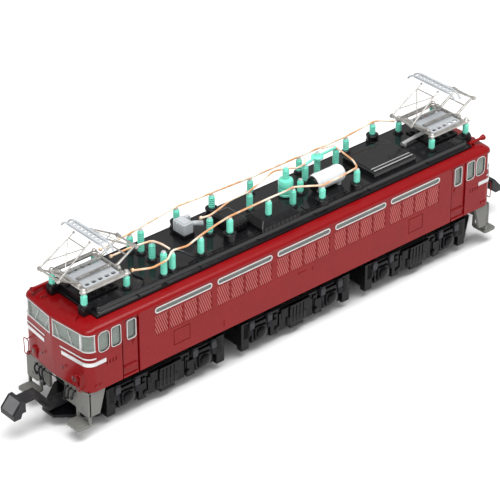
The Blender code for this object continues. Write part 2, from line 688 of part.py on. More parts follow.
def motor():
    case = block(
        (-MOTOR_HALF_LENGTH, -MOTOR_HALF_WIDTH, SHAFT_Z - MOTOR_HALF_HEIGHT),
        (MOTOR_HALF_LENGTH, MOTOR_HALF_WIDTH, SHAFT_Z + MOTOR_HALF_HEIGHT),
    )
    bore = drum((0, 0, SHAFT_Z), 2.7, 2 * MOTOR_HALF_LENGTH - 2.0, "X", 20)
    shaft_hole = drum((0, 0, SHAFT_Z), MOTOR_SHAFT_RADIUS + 0.07, 2 * MOTOR_HALF_LENGTH + 2, "X", 12)
    part("motor_case", STEEL, [case], [bore, shaft_hole])

    start = MOTOR_HALF_LENGTH + 0.3
    reach = start + FLYWHEEL_LENGTH
    armature = drum((0, 0, SHAFT_Z), 2.45, 11.5, "X", 12)
    collar = drum((6.6, 0, SHAFT_Z), 1.5, 1.6, "X", 12)
    shaft = drum((0, 0, SHAFT_Z), MOTOR_SHAFT_RADIUS, 2 * (reach - 0.4), "X", 12)
    part("motor_armature", COPPER, [shaft, armature, collar])
    for name, end in (("front_flywheel", -1), ("rear_flywheel", 1)):
        x = end * (start + FLYWHEEL_LENGTH / 2 + 0.2)
        rim = drum((x, 0, SHAFT_Z), FLYWHEEL_RADIUS, FLYWHEEL_LENGTH, "X", 24)
        bore = drum((x - end * 1.6, 0, SHAFT_Z), MOTOR_SHAFT_RADIUS + 0.05, FLYWHEEL_LENGTH, "X", 12)
        cup = drum((x + end * FLYWHEEL_LENGTH / 2, 0, SHAFT_Z), 1.3, 3.2, "X", 12)
        part(name, BRASS, [rim], [bore, cup])


# --- gears ---------------------------------------------------------------------------------------
def gear(centre, teeth, first_tooth, sides_half=GEAR_HALF_WIDTH):
    """A spur gear about Y; first_tooth is the angle of one tooth, from +X towards +Z."""
    pitch = 2 * math.pi / teeth
    root = pitch_radius(teeth) - DEDENDUM
    tip = pitch_radius(teeth) + ADDENDUM
    outline = []
    for tooth in range(teeth):
        middle = first_tooth + tooth * pitch
        for radius, share in ((root, -0.27), (tip, -0.12), (tip, 0.12), (root, 0.27)):
            angle = middle + share * pitch
            outline.append((centre[0] + radius * math.cos(angle), centre[1] + radius * math.sin(angle)))
    return prism(outline, "Y", -sides_half, sides_half)


def gear_angles():
    """The angle of one tooth of each gear, so that every pair is in mesh at rest."""
    to_idler = math.atan2(AXLE_Z - WORM_WHEEL_Z, IDLER_X)
    angles = {"worm_wheel": math.pi / 2}
    for side in (-1, 1):
        line = to_idler if side == 1 else math.pi - to_idler
        step = 2 * math.pi / WORM_WHEEL_TEETH
        phase = ((line - angles["worm_wheel"]) % step) / step
        idler_step = 2 * math.pi / IDLER_TEETH
        idler = line + math.pi + (0.5 + phase) * idler_step
        angles["idler", side] = idler
        outward = 0.0 if side == 1 else math.pi
        phase = ((outward - idler) % idler_step) / idler_step
        angles["axle", side] = outward + math.pi + (0.5 + phase) * 2 * math.pi / AXLE_TEETH
    return angles


def worm(name, x):
    """A single-start worm: an eccentric disc carried round a helix as it runs along the shaft."""
    bm = bmesh.new()
    lead = math.pi * MODULE
    turns, per_turn, sides = 4, 6, 6
    offset, radius = 0.2, WORM_RADIUS - 0.2
    rings = []
    for step in range(turns * per_turn + 1):
        angle = 2 * math.pi * step / per_turn
        along = x - turns * lead / 2 + lead * step / per_turn
        ring = []
        for corner in range(sides):
            at = 2 * math.pi * corner / sides
            y = offset * math.cos(angle) + radius * math.cos(at)
            z = offset * math.sin(angle) + radius * math.sin(at)
            ring.append((along, y, SHAFT_Z + z))
        rings.append(ring)
    bm.free()
    thread = loft(rings, close_bottom=True, close_top=True)
    end = 1 if x > 0 else -1
    inner = abs(x) - (BOGIE_SPACING - MOTOR_HALF_LENGTH - FLYWHEEL_LENGTH - 1.2)
    far = abs(x) + HALF_BASE - 0.8
    shaft = drum((end * (inner + far) / 2, 0, SHAFT_Z), 0.5, far - inner, "X", 12)
    ball = drum((end * (inner + 0.4), 0, SHAFT_Z), 0.9, 1.2, "X", 10)
    part(name, BRASS, [shaft, thread, ball])


def drive(prefix, x):
    """Worm, worm wheel and two idlers of one driven bogie."""
    angles = gear_angles()
    worm(prefix + "_worm", x)
    wheel = gear((x, WORM_WHEEL_Z), WORM_WHEEL_TEETH, angles["worm_wheel"])
    pin = drum((x, 0, WORM_WHEEL_Z), 0.5, 2 * TOWER_HALF_WIDTH - 0.2, "Y", 10)
    part(prefix + "_worm_wheel", NYLON, [wheel, pin])
    for side, word in ((-1, "leading"), (1, "trailing")):
        centre = (x + side * IDLER_X, AXLE_Z)
        idler = gear(centre, IDLER_TEETH, angles["idler", side])
        pin = drum((centre[0], 0, centre[1]), 0.5, 2 * TOWER_HALF_WIDTH - 0.2, "Y", 10)
        part(f"{prefix}_{word}_idler", NYLON, [idler, pin])


def wheelset(name, x, gear_angle=None):
    profile = [
        (WHEEL_BACK, AXLE_RADIUS), (WHEEL_BACK, FLANGE_RADIUS),
        (WHEEL_BACK + FLANGE_WIDTH, TREAD_RADIUS + 0.05), (WHEEL_BACK + WHEEL_WIDTH, TREAD_RADIUS),
        (WHEEL_BACK + WHEEL_WIDTH, AXLE_RADIUS), (AXLE_HALF_LENGTH, AXLE_RADIUS),
    ]
    along = [(-y, radius) for y, radius in reversed(profile)] + profile
    sides = 20
    rings = []
    for y, radius in along:
        ring = []
        for corner in range(sides):
            angle = 2 * math.pi * corner / sides
            ring.append((x + radius * math.cos(angle), y, AXLE_Z + radius * math.sin(angle)))
        rings.append(ring)
    pieces = [loft(rings, close_bottom=True, close_top=True)]
    if gear_angle is not None:
        pieces.append(gear((x, AXLE_Z), AXLE_TEETH, gear_angle))
    part(name, STEEL, pieces)


# --- bogies -----------------------------------------------------------------------------------------
def side_frame(x, side):
    """One moulded side frame with its axleboxes, springs and brake gear, about the bogie's centre x."""
    inner = SIDE_FRAME_INNER
    outer = inner + SIDE_FRAME_THICKNESS
    half = BOGIE_HALF_LENGTH

    def slab(x0, x1, z0, z1, proud):
        low, high = sorted((side * inner, side * (outer + proud)))
        return block((x + x0, low, z0), (x + x1, high, z1))

    pieces = [
        slab(-half, half, 4.4, SIDE_FRAME_TOP, 0.0),
        slab(-4.4, 4.4, 2.2, 6.0, 0.35),
        slab(-1.7, 1.7, 1.7, 6.9, 0.7),
    ]
    for end in (-1, 1):
        a = end * HALF_BASE
        pieces.append(slab(a - 2.1, a + 2.1, 2.4, 6.4, 0.3))
        pieces.append(slab(a - 1.3, a + 1.3, 2.9, 5.6, 0.7))
        low, high = sorted((end * (half - 1.9), end * half))
        pieces.append(slab(low, high, 1.6, SIDE_FRAME_TOP, 0.45))
        low, high = sorted((end * 5.0, end * 6.8))
        pieces.append(slab(low, high, 2.0, 5.4, 0.5))
    return pieces


def bogie_frame(name, x, driven, tower_ends=True):
    half = HALF_BASE + pitch_radius(AXLE_TEETH) + ADDENDUM + 0.25
    pieces = [block((x - half - 0.6, -TOWER_HALF_WIDTH, 2.3), (x + half + 0.6, TOWER_HALF_WIDTH, 7.2))]
    pieces.append(block((x - 4.4, -SIDE_FRAME_INNER - 0.3, 5.6), (x + 4.4, SIDE_FRAME_INNER + 0.3, 7.4)))
    for end in (-1, 1):
        low, high = sorted((x + end * (BOGIE_HALF_LENGTH - 0.7), x + end * BOGIE_HALF_LENGTH))
        pieces.append(block((low, -SIDE_FRAME_INNER - 0.3, 2.4), (high, SIDE_FRAME_INNER + 0.3, 6.2)))
        low, high = sorted((x + end * half, x + end * (BOGIE_HALF_LENGTH - 0.3)))
        pieces.append(block((low, -TOWER_HALF_WIDTH + 0.6, 4.6), (high, TOWER_HALF_WIDTH - 0.6, 6.2)))
    for side in (-1, 1):
        pieces.extend(side_frame(x, side))
    cuts = [
        drum((x + end * HALF_BASE, 0, AXLE_Z), AXLE_RADIUS + 0.08, 2 * SIDE_FRAME_INNER + 0.6, "Y", 12)
        for end in (-1, 1)
    ]
    if driven:
        room = GEAR_HALF_WIDTH + 0.25
        tower = HALF_BASE - 0.4
        pieces.append(block((x - tower, -TOWER_HALF_WIDTH, 6.5), (x + tower, TOWER_HALF_WIDTH, TOWER_TOP)))
        pieces.append(drum((x, 0, TOWER_TOP + 0.4), 1.2, 1.2, "Z", 14))
        cuts.append(block((x - half, -room, 0), (x + half, room, 7.0)))
        cuts.append(block((x - tower + 0.7, -room, 6.0), (x + tower - 0.7, room, TOWER_TOP - 0.7)))
        cuts.append(drum((x, 0, SHAFT_Z), 0.6, 2 * tower + 2, "X", 12))
        cuts.append(drum((x, 0, WORM_WHEEL_Z), 0.56, 2 * TOWER_HALF_WIDTH + 1, "Y", 12))
        for end in (-1, 1):
            cuts.append(drum((x + end * IDLER_X, 0, AXLE_Z), 0.56, 2 * TOWER_HALF_WIDTH + 1, "Y", 12))
    else:
        pieces.append(drum((x, 0, 7.6), 1.4, 1.2, "Z", 14))
    return part(name, BLACK, pieces, cuts)


# --- pilots and couplers ----------------------------------------------------------------------------
def pilot(name, turned_end):
    """Two skirt halves round the body's corners, their steps, and the bar that joins them."""
    top = BODY_BOTTOM - GAP
    face = -CORNER_HALF_LENGTH
    outer = HALF_WIDTH - 0.35
    thickness = PILOT_THICKNESS
    pieces = [block((face, -outer, top - 0.9), (face + thickness, outer, top))]
    for side in (-1, 1):
        low, high = sorted((side * PILOT_GAP_HALF, side * outer))
        pieces.append(block((face, low, PILOT_BOTTOM), (face + thickness, high, top)))
        low, high = sorted((side * (outer - thickness), side * outer))
        skirt = [(face, PILOT_BOTTOM - 0.7), (face + 2.6, PILOT_BOTTOM - 0.7), (face + 4.1, top), (face, top)]
        pieces.append(prism(skirt, "Y", low, high))
        low, high = sorted((side * (outer - 4.0), side * outer))
        pieces.append(block((face, low, 2.9), (face + thickness, high, PILOT_BOTTOM + 0.2)))
        pieces.append(block((face - 2.6, low, 2.7), (face + thickness, high, 3.3)))
    part(name, GREY, pieces, turned_end=turned_end)


def coupler(name, turned_end):
    """A hook coupler on a shank, its pivot pin at the shank's inner end."""
    pivot = -BOGIE_SPACING - BOGIE_HALF_LENGTH - COUPLER_PIVOT
    tip = -COUPLER_REACH
    z = COUPLER_HEIGHT
    bar = [
        (pivot, z - 1.0), (-55.6, z - 1.0), (-58.6, z + 3.1), (-62.2, z + 3.1), (-62.2, z + 4.4), (-57.6, z + 4.4),
        (-54.6, z + 0.4), (pivot, z + 0.4),
    ]
    eye = drum((pivot, 0, z - 0.15), 0.9, 2.9, "Y", 12)
    wedge = [
        (-61.4, z + 4.6), (-62.3, z + 4.6), (tip, z + 2.4), (tip, z + 1.2), (-62.6, z + 1.2), (-62.2, z + 2.2),
        (-61.4, z + 2.2),
    ]
    part(name, DARK_GREY, [prism(bar, "Y", -1.1, 1.1), eye, prism(wedge, "Y", -2.2, 2.2)], turned_end=turned_end)


def coupler_yoke(x, end):
    """The two lugs on the bogie that hold a coupler's pivot."""
    start = x + end * (BOGIE_HALF_LENGTH - 0.3)
    pivot = end * (BOGIE_SPACING + BOGIE_HALF_LENGTH + COUPLER_PIVOT)
    low, high = sorted((start, pivot + end * 1.0))
    lugs = [block((low, side - 0.45, 2.3), (high, side + 0.45, 5.6)) for side in (-2.0, 2.0)]
    tip = end * CARRIER_REACH
    wide = start + end * 1.6
    plate = [(start, 6.8), (wide, 6.8), (tip, 1.7), (tip, -1.7), (wide, -6.8), (start, -6.8)]
    return [*lugs, prism(plate, "Z", 1.9, 2.55)]


# --- pantographs ---------------------------------------------------------------------------------------
def pantograph(prefix, x):
    """Base frame, two lower arms, two upper arms and the collector head of one pantograph."""
    half, width = PANTO_HALF_LENGTH, PANTO_HALF_WIDTH
    plate = block((x - 4.0, -PANTO_PLATE_HALF_WIDTH, PANTO_BASE_Z + 0.2), (x + 4.0, 3.0, PANTO_BASE_Z + 0.5))
    rails = []
    for y in (-width, width):
        rails.append(block((x - half - 0.7, y - 0.5, PANTO_BASE_Z), (x + half + 0.7, y + 0.5, PANTO_BASE_Z + 0.5)))
    for end in (-1, 1):
        middle = x + end * PIVOT_HALF
        rails.append(block((middle - 0.4, -width, PANTO_BASE_Z), (middle + 0.4, width, PANTO_BASE_Z + 0.4)))
        for y in (-3.1, 3.1):
            rails.append(block((middle - 0.35, y - 0.3, PANTO_BASE_Z), (middle + 0.35, y + 0.3, PIVOT_Z + 0.45)))
    holes = [
        drum((x + dx, y, PANTO_BASE_Z), 0.45, 4, "Z", 6) for dx in (-2.2, 0.0, 2.2) for y in (-2.4, 1.0)
    ]
    eyes = [
        drum((x + end * PIVOT_HALF, 0, PIVOT_Z), ROD + 0.06, 9, "Y", 8) for end in (-1, 1)
    ]
    part(prefix + "_pantograph_base", SILVER, [plate, *rails], [*holes, *eyes])

    for end, word in ((-1, "front"), (1, "rear")):
        def at(dx, y, z):
            return (x + end * dx, y, z)

        arm, width = LOWER_ARM_HALF_WIDTH, UPPER_ARM_HALF_WIDTH
        pivot = drum(at(PIVOT_HALF, 0, PIVOT_Z), ROD, 7.2, "Y", 8)
        lower = [pivot]
        for y in (-arm, arm):
            lower.append(rod([at(PIVOT_HALF, y, PIVOT_Z), at(KNEE_HALF, y, KNEE_Z)], ROD + 0.03))
        lower.append(drum(at(KNEE_HALF, 0, KNEE_Z), ROD, 2 * arm + 1.9, "Y", 8))
        part(f"{prefix}_pantograph_lower_{word}", SILVER, lower)

        reach = HEAD_HALF_GAP
        upper = []
        for y in (-width, width):
            side = math.copysign(0.55, y)
            upper.append(rod([at(KNEE_HALF, y + side, KNEE_Z), at(reach + 0.5, y, HEAD_Z - 0.3)], ROD - 0.03))
            upper.append(drum(at(KNEE_HALF, y + side, KNEE_Z), 0.48, 0.4, "Y", 10))
        low = 0.22
        a = [KNEE_HALF + (reach + 0.5 - KNEE_HALF) * low, width + 0.55 - 0.55 * low]
        a_z = KNEE_Z + (HEAD_Z - 0.3 - KNEE_Z) * low
        high = 0.93
        b = [KNEE_HALF + (reach + 0.5 - KNEE_HALF) * high, width + 0.55 - 0.55 * high]
        b_z = KNEE_Z + (HEAD_Z - 0.3 - KNEE_Z) * high
        upper.append(rod([at(a[0], -a[1], a_z), at(b[0], b[1], b_z)], ROD - 0.06))
        upper.append(rod([at(b[0], -b[1], b_z), at(b[0], b[1], b_z)], ROD - 0.03))
        bores = [drum(at(KNEE_HALF, 0, KNEE_Z), ROD + 0.06, 9, "Y", 8)]
        part(f"{prefix}_pantograph_upper_{word}", SILVER, upper, bores)

    horn = STRIP_HALF_LENGTH
    strips = []
    for dx in (-0.75, 0.75):
        strips.append(
            rod(
                [(x + dx, -HORN_HALF_LENGTH, HEAD_Z - 0.95), (x + dx, -horn, HEAD_Z + 0.2),
                 (x + dx, horn, HEAD_Z + 0.2), (x + dx, HORN_HALF_LENGTH, HEAD_Z - 0.95)],
                0.22,
            )
        )
    strips.append(block((x - 0.9, -horn, HEAD_Z + 0.15), (x + 0.9, horn, HEAD_Z + 0.45)))
    part(prefix + "_pantograph_head", SILVER, strips)


def bogies():
    angles = gear_angles()
    for prefix, x in (("front", -BOGIE_SPACING), ("middle", 0.0), ("rear", BOGIE_SPACING)):
        driven = x != 0
        frame = bogie_frame(prefix + "_bogie_frame", x, driven)
        if driven:
            end = 1 if x > 0 else -1
            combine(frame, coupler_yoke(x, end), "UNION")
            drive(prefix, x)
        for side, word in ((-1, "leading"), (1, "trailing")):
            gear_angle = angles["axle", side] if driven else None
            wheelset(f"{prefix}_{word}_wheelset", x + side * HALF_BASE, gear_angle)


def main():
    body_shell()
    for name, turned_end in (("front", False), ("rear", True)):
        windscreen(name + "_windscreen", turned_end)
        cab(name + "_cab", turned_end)
        pilot(name + "_pilot", turned_end)
        coupler(name + "_coupler", turned_end)
    side_glazing("left_side_glazing", 1)
    side_glazing("right_side_glazing", -1)
    roof_panel()
    insulator_row("near_insulators", NEAR_ROW, RUNNER_Y["near"])
    insulator_row("middle_insulators", MIDDLE_ROW, RUNNER_Y["middle"])
    insulator_row("far_insulators", FAR_ROW, RUNNER_Y["far"])
    busbars()
    roof_equipment()
    chassis("left_chassis", 1)
    chassis("right_chassis", -1)
    circuit_board()
    motor()
    bogies()
    pantograph("front", -PANTO_CENTRE)
    pantograph("rear", PANTO_CENTRE)


main()
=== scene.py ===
"""Looks of a model electric locomotive: a Blender add-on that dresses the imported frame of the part.

The locomotive runs along X with its first cab at -X. Shapes are written in millimetres.
"""

import math

import bmesh
import bpy
from bpy.props import FloatProperty, FloatVectorProperty, IntProperty, PointerProperty
from mathutils import Matrix, Vector


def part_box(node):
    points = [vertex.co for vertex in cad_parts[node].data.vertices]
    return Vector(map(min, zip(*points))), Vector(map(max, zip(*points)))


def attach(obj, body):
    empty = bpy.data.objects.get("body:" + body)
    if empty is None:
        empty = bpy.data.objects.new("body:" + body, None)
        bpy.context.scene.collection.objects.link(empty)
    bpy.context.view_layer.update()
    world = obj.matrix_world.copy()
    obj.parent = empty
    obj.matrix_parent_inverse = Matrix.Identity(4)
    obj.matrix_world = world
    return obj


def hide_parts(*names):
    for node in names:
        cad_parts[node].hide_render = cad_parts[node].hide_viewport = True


bl_info = {
    "name": "Model electric locomotive",
    "version": (1, 0, 0),
    "blender": (4, 5, 0),
    "location": "View3D > Sidebar > Locomotive",
    "description": "Builds the painted shell, roof gear, pantographs and running gear on the locomotive's frame",
    "category": "Object",
}

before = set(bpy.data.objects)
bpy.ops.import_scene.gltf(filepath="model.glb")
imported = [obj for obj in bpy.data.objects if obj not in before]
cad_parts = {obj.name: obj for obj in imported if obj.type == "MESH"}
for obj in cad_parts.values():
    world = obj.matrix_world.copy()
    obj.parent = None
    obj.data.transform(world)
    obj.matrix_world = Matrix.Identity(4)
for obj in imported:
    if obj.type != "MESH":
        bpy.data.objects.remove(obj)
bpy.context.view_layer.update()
MM = 0.001
BODY = "locomotive_body"
ENDS = ((-1, "front"), (1, "rear"))


def millimetres(node):
    """A frame node's lowest and highest corners, in millimetres."""
    return tuple(Vector(corner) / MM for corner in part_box(node))


SHELL_LOW, SHELL_HIGH = millimetres("body_shell")
HALF_WIDTH = SHELL_HIGH.y
BODY_BOTTOM = SHELL_LOW.z
ROOF_EDGE_Z = SHELL_HIGH.z
CORNER = 52.65  # the corner's plane from the middle
NOSE = SHELL_HIGH.x - CORNER
CORNER_RADIUS = 1.9
FACE_HALF = 7.9  # half of the cab's face between its corners
SHOULDER_BOTTOM = 22.8
ROOF_X, ROOF_Y = 48.5, 7.65
DECK = 25.5
GROUPS = [(index - 2) * 15.04 for index in range(5)]
GROUP_HALF = 6.88
BOGIE_X = 33.0
HALF_BASE = 9.35
BOGIES = (("front", -BOGIE_X), ("middle", 0.0), ("rear", BOGIE_X))
AXLE_Z = 4.2
PANTO_X = 44.3
PANTO_BASE_Z = 28.35
POST_X, POST_Y = 4.9, 4.8  # a pantograph's four insulators, from its middle
PIVOT, PIVOT_Z = 4.5, 29.1
KNEE, KNEE_Z = 9.0, 31.7
HEAD_Z = 36.9
INSULATOR_FOOT = 0.5
SLAT_LOW, SLAT_HIGH, SLAT_WIDTH, POST_WIDTH = 16.3, 20.55, 0.26, 0.35

CAMERA_AZIMUTH, CAMERA_ELEVATION = math.radians(-41.09), math.radians(31.654)
CAMERA_DISTANCE, CAMERA_LENS = 445.27, 163.7
CAMERA_TARGET = (-4.099, 1.286, 16.46)


# --- sizes and colours that can be changed ------------------------------------------------------
def size(name, description, default, low=0.01, high=20.0):
    """A length in millimetres."""
    return FloatProperty(name=name, description=description + ", in mm", default=default, min=low, max=high)


def colour(name, description, default):
    return FloatVectorProperty(
        name=name, description=description, default=default, size=3, min=0, max=1, subtype="COLOR"
    )


class BodySettings(bpy.types.PropertyGroup):
    paint: colour("Body paint", "Deep red of the shell", (0.21, 0.003, 0.0045))
    silver: colour("Silver trim", "Window frames, bands and pantographs", (0.62, 0.62, 0.62))
    glass: colour("Glazing", "Tint of the windows", (0.2, 0.24, 0.21))
    louvre_pitch: size("Louvre pitch", "Distance from slat to slat", 0.5)
    louvre_lean: FloatProperty(name="Louvre lean", description="Lean of the slats from upright", default=0.38)
    frame_width: size("Frame width", "Face width of the silver window frames", 0.15)


class RoofSettings(bpy.types.PropertyGroup):
    deck: colour("Roof deck", "Grey of the roof's flat parts", (0.008, 0.008, 0.009))
    black: colour("Roof black", "Stands, boxes and lines on the roof", (0.006, 0.006, 0.007))
    insulator: colour("Insulators", "Mint green of the insulators", (0.16, 0.66, 0.5))
    wire: colour("Wires", "Copper of the roof wires", (0.7, 0.33, 0.14))
    rib_pitch: size("Rib pitch", "Distance from rib to rib on an insulator", 0.42)
    wire_radius: size("Wire radius", "Half the thickness of the roof wires", 0.2)


class RunningSettings(bpy.types.PropertyGroup):
    black: colour("Underframe", "Black of the bogies", (0.004, 0.004, 0.005))
    grey: colour("Pilot grey", "Grey of the pilots and steps", (0.16, 0.16, 0.148))
    steel: colour("Wheel steel", "Blackened metal of the wheels", (0.07, 0.068, 0.065))
    spring_coils: IntProperty(name="Spring coils", description="Turns of each bogie spring", default=5, min=2, max=12)


class StageSettings(bpy.types.PropertyGroup):
    floor: colour("Floor", "Pale floor", (0.92, 0.92, 0.92))
    key: FloatProperty(name="Key light", description="Strength of the large light overhead, in W", default=2.6)
    fill: FloatProperty(name="Fill light", description="Strength of the side light, in W", default=0.5)
    surround: FloatProperty(name="Surround", description="Brightness of the pale surround", default=0.5)


# --- finishes -------------------------------------------------------------------------------------
class Value:
    """A number in a shader, which arithmetic turns into Math nodes."""

    def __init__(self, finish, socket):
        self.finish, self.socket = finish, socket

    def math(self, operation, *values):
        return self.finish.node("ShaderNodeMath", {"operation": operation}, dict(enumerate(values)))

    def __add__(self, other):
        return self.math("ADD", self, other)

    def __sub__(self, other):
        return self.math("SUBTRACT", self, other)

    def __rsub__(self, other):
        return self.math("SUBTRACT", other, self)

    def __mul__(self, other):
        return self.math("MULTIPLY", self, other)

    def __truediv__(self, other):
        return self.math("DIVIDE", self, other)

    def __pow__(self, other):
        return self.math("POWER", self, other)

    __radd__ = __add__
    __rmul__ = __mul__


class Finish:
    """A material with one Principled shader."""

    def __init__(self, name, base, roughness, **constants):
        self.material = bpy.data.materials.new(name)
        self.material.use_nodes = True
        self.tree = self.material.node_tree
        self.shader = self.tree.nodes["Principled BSDF"]
        self.set("Base Color", (*base, 1.0))
        self.set("Roughness", roughness)
        for socket, value in constants.items():
            self.set(socket.replace("_", " "), value)

    def feed(self, target, value):
        if isinstance(value, Value):
            self.tree.links.new(value.socket, target)
        else:
            target.default_value = value

    def set(self, socket, value):
        self.feed(self.shader.inputs[socket], value)

    def node(self, kind, settings=None, inputs=None, output=0):
        made = self.tree.nodes.new(kind)
        for key, value in (settings or {}).items():
            setattr(made, key, value)
        for key, value in (inputs or {}).items():
            self.feed(made.inputs[key], value)
        return Value(self, made.outputs[output])

    def place(self):
        return self.node("ShaderNodeTexCoord", output="Object")

    def noise(self, features, detail=2.0, stretch=(1.0, 1.0, 1.0)):
        """Noise whose features are that many millimetres across."""
        mapped = self.node("ShaderNodeMapping", None, {"Vector": self.place(), "Scale": stretch})
        return self.node(
            "ShaderNodeTexNoise", None, {"Vector": mapped, "Scale": 1 / (features * MM), "Detail": detail}
        )

    def mix(self, share, first, second):
        """Two colours mixed by a share."""
        made = self.tree.nodes.new("ShaderNodeMix")
        made.data_type = "RGBA"
        self.feed(made.inputs[0], share)
        for index, value in ((6, first), (7, second)):
            self.feed(made.inputs[index], value if isinstance(value, Value) else (*value, 1.0))
        return Value(self, made.outputs[2])

    def spread(self, value, low, high):
        return self.node(
            "ShaderNodeMapRange", {"clamp": True}, {"Value": value, "From Min": low, "From Max": high}
        )

    def bump(self, height, depth, strength=0.3):
        made = self.node("ShaderNodeBump", None, {"Height": height, "Distance": depth * MM, "Strength": strength})
        self.set("Normal", made)


def shade(base, factor):
    return tuple(min(1.0, channel * factor) for channel in base)


def satin_paint(name, base, roughness=0.34, coat=0.25, mottle=0.1, grain=0.12):
    """Sprayed paint over plastic: faint cloudiness, fine orange peel and a thin sheen."""
    finish = Finish(name, base, roughness, Specular_IOR_Level=0.12, Coat_Weight=coat, Coat_Roughness=0.14)
    cloud = finish.spread(finish.noise(4.5, 3), 0.3, 0.7)
    peel = finish.noise(grain, 2)
    finish.set("Base Color", finish.mix(cloud, shade(base, 1 - mottle), shade(base, 1 + mottle)))
    finish.set("Roughness", roughness + (peel - 0.5) * 0.16 + (cloud - 0.5) * 0.06)
    finish.bump(peel, 0.012, 0.25)
    return finish.material


def moulded_plastic(name, base, roughness=0.5, dust=0.12, shine=0.25):
    """Moulded plastic with a fine texture and a trace of dust that lightens it."""
    finish = Finish(name, base, roughness, Specular_IOR_Level=shine)
    texture = finish.noise(0.09, 3)
    settled = finish.spread(finish.noise(1.6, 4), 0.48, 0.78)
    finish.set("Base Color", finish.mix(settled * dust, base, (0.42, 0.4, 0.37)))
    finish.set("Roughness", roughness + (texture - 0.5) * 0.2 + settled * 0.08)
    finish.bump(texture, 0.01, 0.3)
    return finish.material


def silver_metal(name, base, roughness=0.32, metallic=0.75, drawn=(1.0, 1.0, 1.0), tarnish=0.18):
    """Plated or silver-painted metal with drawn scratches and darker patches."""
    finish = Finish(name, base, roughness, Metallic=metallic)
    scratches = finish.noise(0.07, 2, drawn)
    patches = finish.spread(finish.noise(1.2, 3), 0.45, 0.75)
    finish.set("Base Color", finish.mix(patches, base, shade(base, 1 - tarnish)))
    finish.set("Roughness", roughness + (scratches - 0.5) * 0.22 + patches * 0.1)
    finish.bump(scratches, 0.006, 0.2)
    return finish.material


def patchy_copper(name, base):
    """Copper-coloured wire with pale cream patches along its length."""
    finish = Finish(name, base, 0.36, Metallic=0.25, Coat_Weight=0.3, Coat_Roughness=0.2)
    cream_patches = finish.spread(finish.noise(3.2, 2), 0.4, 0.62)
    fine = finish.noise(0.2, 2)
    pale = finish.mix(fine, (0.93, 0.78, 0.62), (0.98, 0.86, 0.72))
    finish.set("Base Color", finish.mix(cream_patches, base, pale))
    finish.set("Roughness", 0.3 + fine * 0.14)
    finish.bump(fine, 0.01, 0.2)
    return finish.material


def tinted_glass(name, base, alpha):
    """Clear styrene with a faint tint, slight waviness and a smear."""
    finish = Finish(name, base, 0.08, Alpha=alpha, Coat_Weight=0.6, Coat_Roughness=0.03, IOR=1.49)
    wave = finish.noise(2.4, 2)
    smear = finish.spread(finish.noise(0.9, 3), 0.5, 0.8)
    finish.set("Base Color", finish.mix(wave, shade(base, 0.82), shade(base, 1.2)))
    finish.set("Roughness", 0.06 + smear * 0.16)
    finish.set("Alpha", alpha + (wave - 0.5) * 0.16)
    finish.bump(wave, 0.03, 0.2)
    return finish.material


FINISHES = {}


def make_finishes():
    scene = bpy.context.scene
    body, roof, running = scene.loco_body, scene.loco_roof, scene.loco_running
    FINISHES.update(
        red=satin_paint("deep_red_paint", tuple(body.paint), 0.28, 0.14, 0.05),
        # Lighter, pinker red on the louvre slats: a painted highlight where the overhead light catches their faces;
        # the slats are the body's red.
        slat=satin_paint("louvre_red_with_painted_highlight", (0.44, 0.1, 0.095), 0.4, 0.1, 0.06),
        silver=silver_metal("silver_trim", tuple(body.silver), 0.3, 0.6),
        bright=silver_metal("pantograph_silver", (0.47, 0.455, 0.43), 0.34, 0.7, tarnish=0.35),
        glass=tinted_glass("cab_glazing", tuple(body.glass), 0.62),
        light_glass=tinted_glass("upper_light_glazing", shade(tuple(body.glass), 0.5), 0.9),
        plate=satin_paint("pantograph_plate_grey", (0.4, 0.42, 0.44), 0.4, 0.1, 0.1),
        deck=moulded_plastic("roof_deck_grey", tuple(roof.deck), 0.12, 0.006, 0.4),
        black=moulded_plastic("roof_fitting_black", tuple(roof.black), 0.24, 0.01),
        mint=satin_paint("mint_glaze", tuple(roof.insulator), 0.2, 0.8, 0.06, 0.2),
        copper=patchy_copper("roof_wire_copper", tuple(roof.wire)),
        tank=satin_paint("tank_pale_grey", (0.62, 0.63, 0.64), 0.4, 0.15, 0.04),
        frame=moulded_plastic("bogie_black", tuple(running.black), 0.2, 0.004, 0.16),
        spring=moulded_plastic("spring_seat_grey", (0.022, 0.023, 0.028), 0.3, 0.02),
        grey=moulded_plastic("pilot_grey", tuple(running.grey), 0.52, 0.05),
        wheel=silver_metal("wheel_steel", tuple(running.steel), 0.34, 0.85, (1.0, 0.2, 1.0), 0.4),
        coupler=moulded_plastic("coupler_dark", (0.014, 0.014, 0.016), 0.4, 0.05),
        # Lighter grey for the coupler head's sloping face: a painted highlight where the overhead light falls on it.
        worn=moulded_plastic("coupler_worn_face", (0.12, 0.118, 0.122), 0.4, 0.1),
        lens=satin_paint("tail_lens", (0.08, 0.002, 0.004), 0.15, 0.8, 0.1),
        interior=moulded_plastic("cab_interior", (0.3, 0.35, 0.3), 0.6, 0.15),
        cast=silver_metal("die_cast_zinc", (0.2, 0.2, 0.21), 0.5, 0.8, tarnish=0.3),
        board=moulded_plastic("circuit_board_green", (0.03, 0.17, 0.06), 0.4, 0.1),
        motor=silver_metal("motor_plate", (0.5, 0.5, 0.49), 0.3, 0.9, (0.3, 1.0, 1.0)),
        winding=silver_metal("motor_winding", (0.72, 0.36, 0.18), 0.35, 0.9, (1.0, 0.15, 0.15)),
        brass=silver_metal("turned_brass", (0.72, 0.52, 0.22), 0.28, 0.9, (0.2, 1.0, 1.0)),
        nylon=satin_paint("gear_nylon", (0.68, 0.66, 0.58), 0.45, 0.1, 0.05),
    )


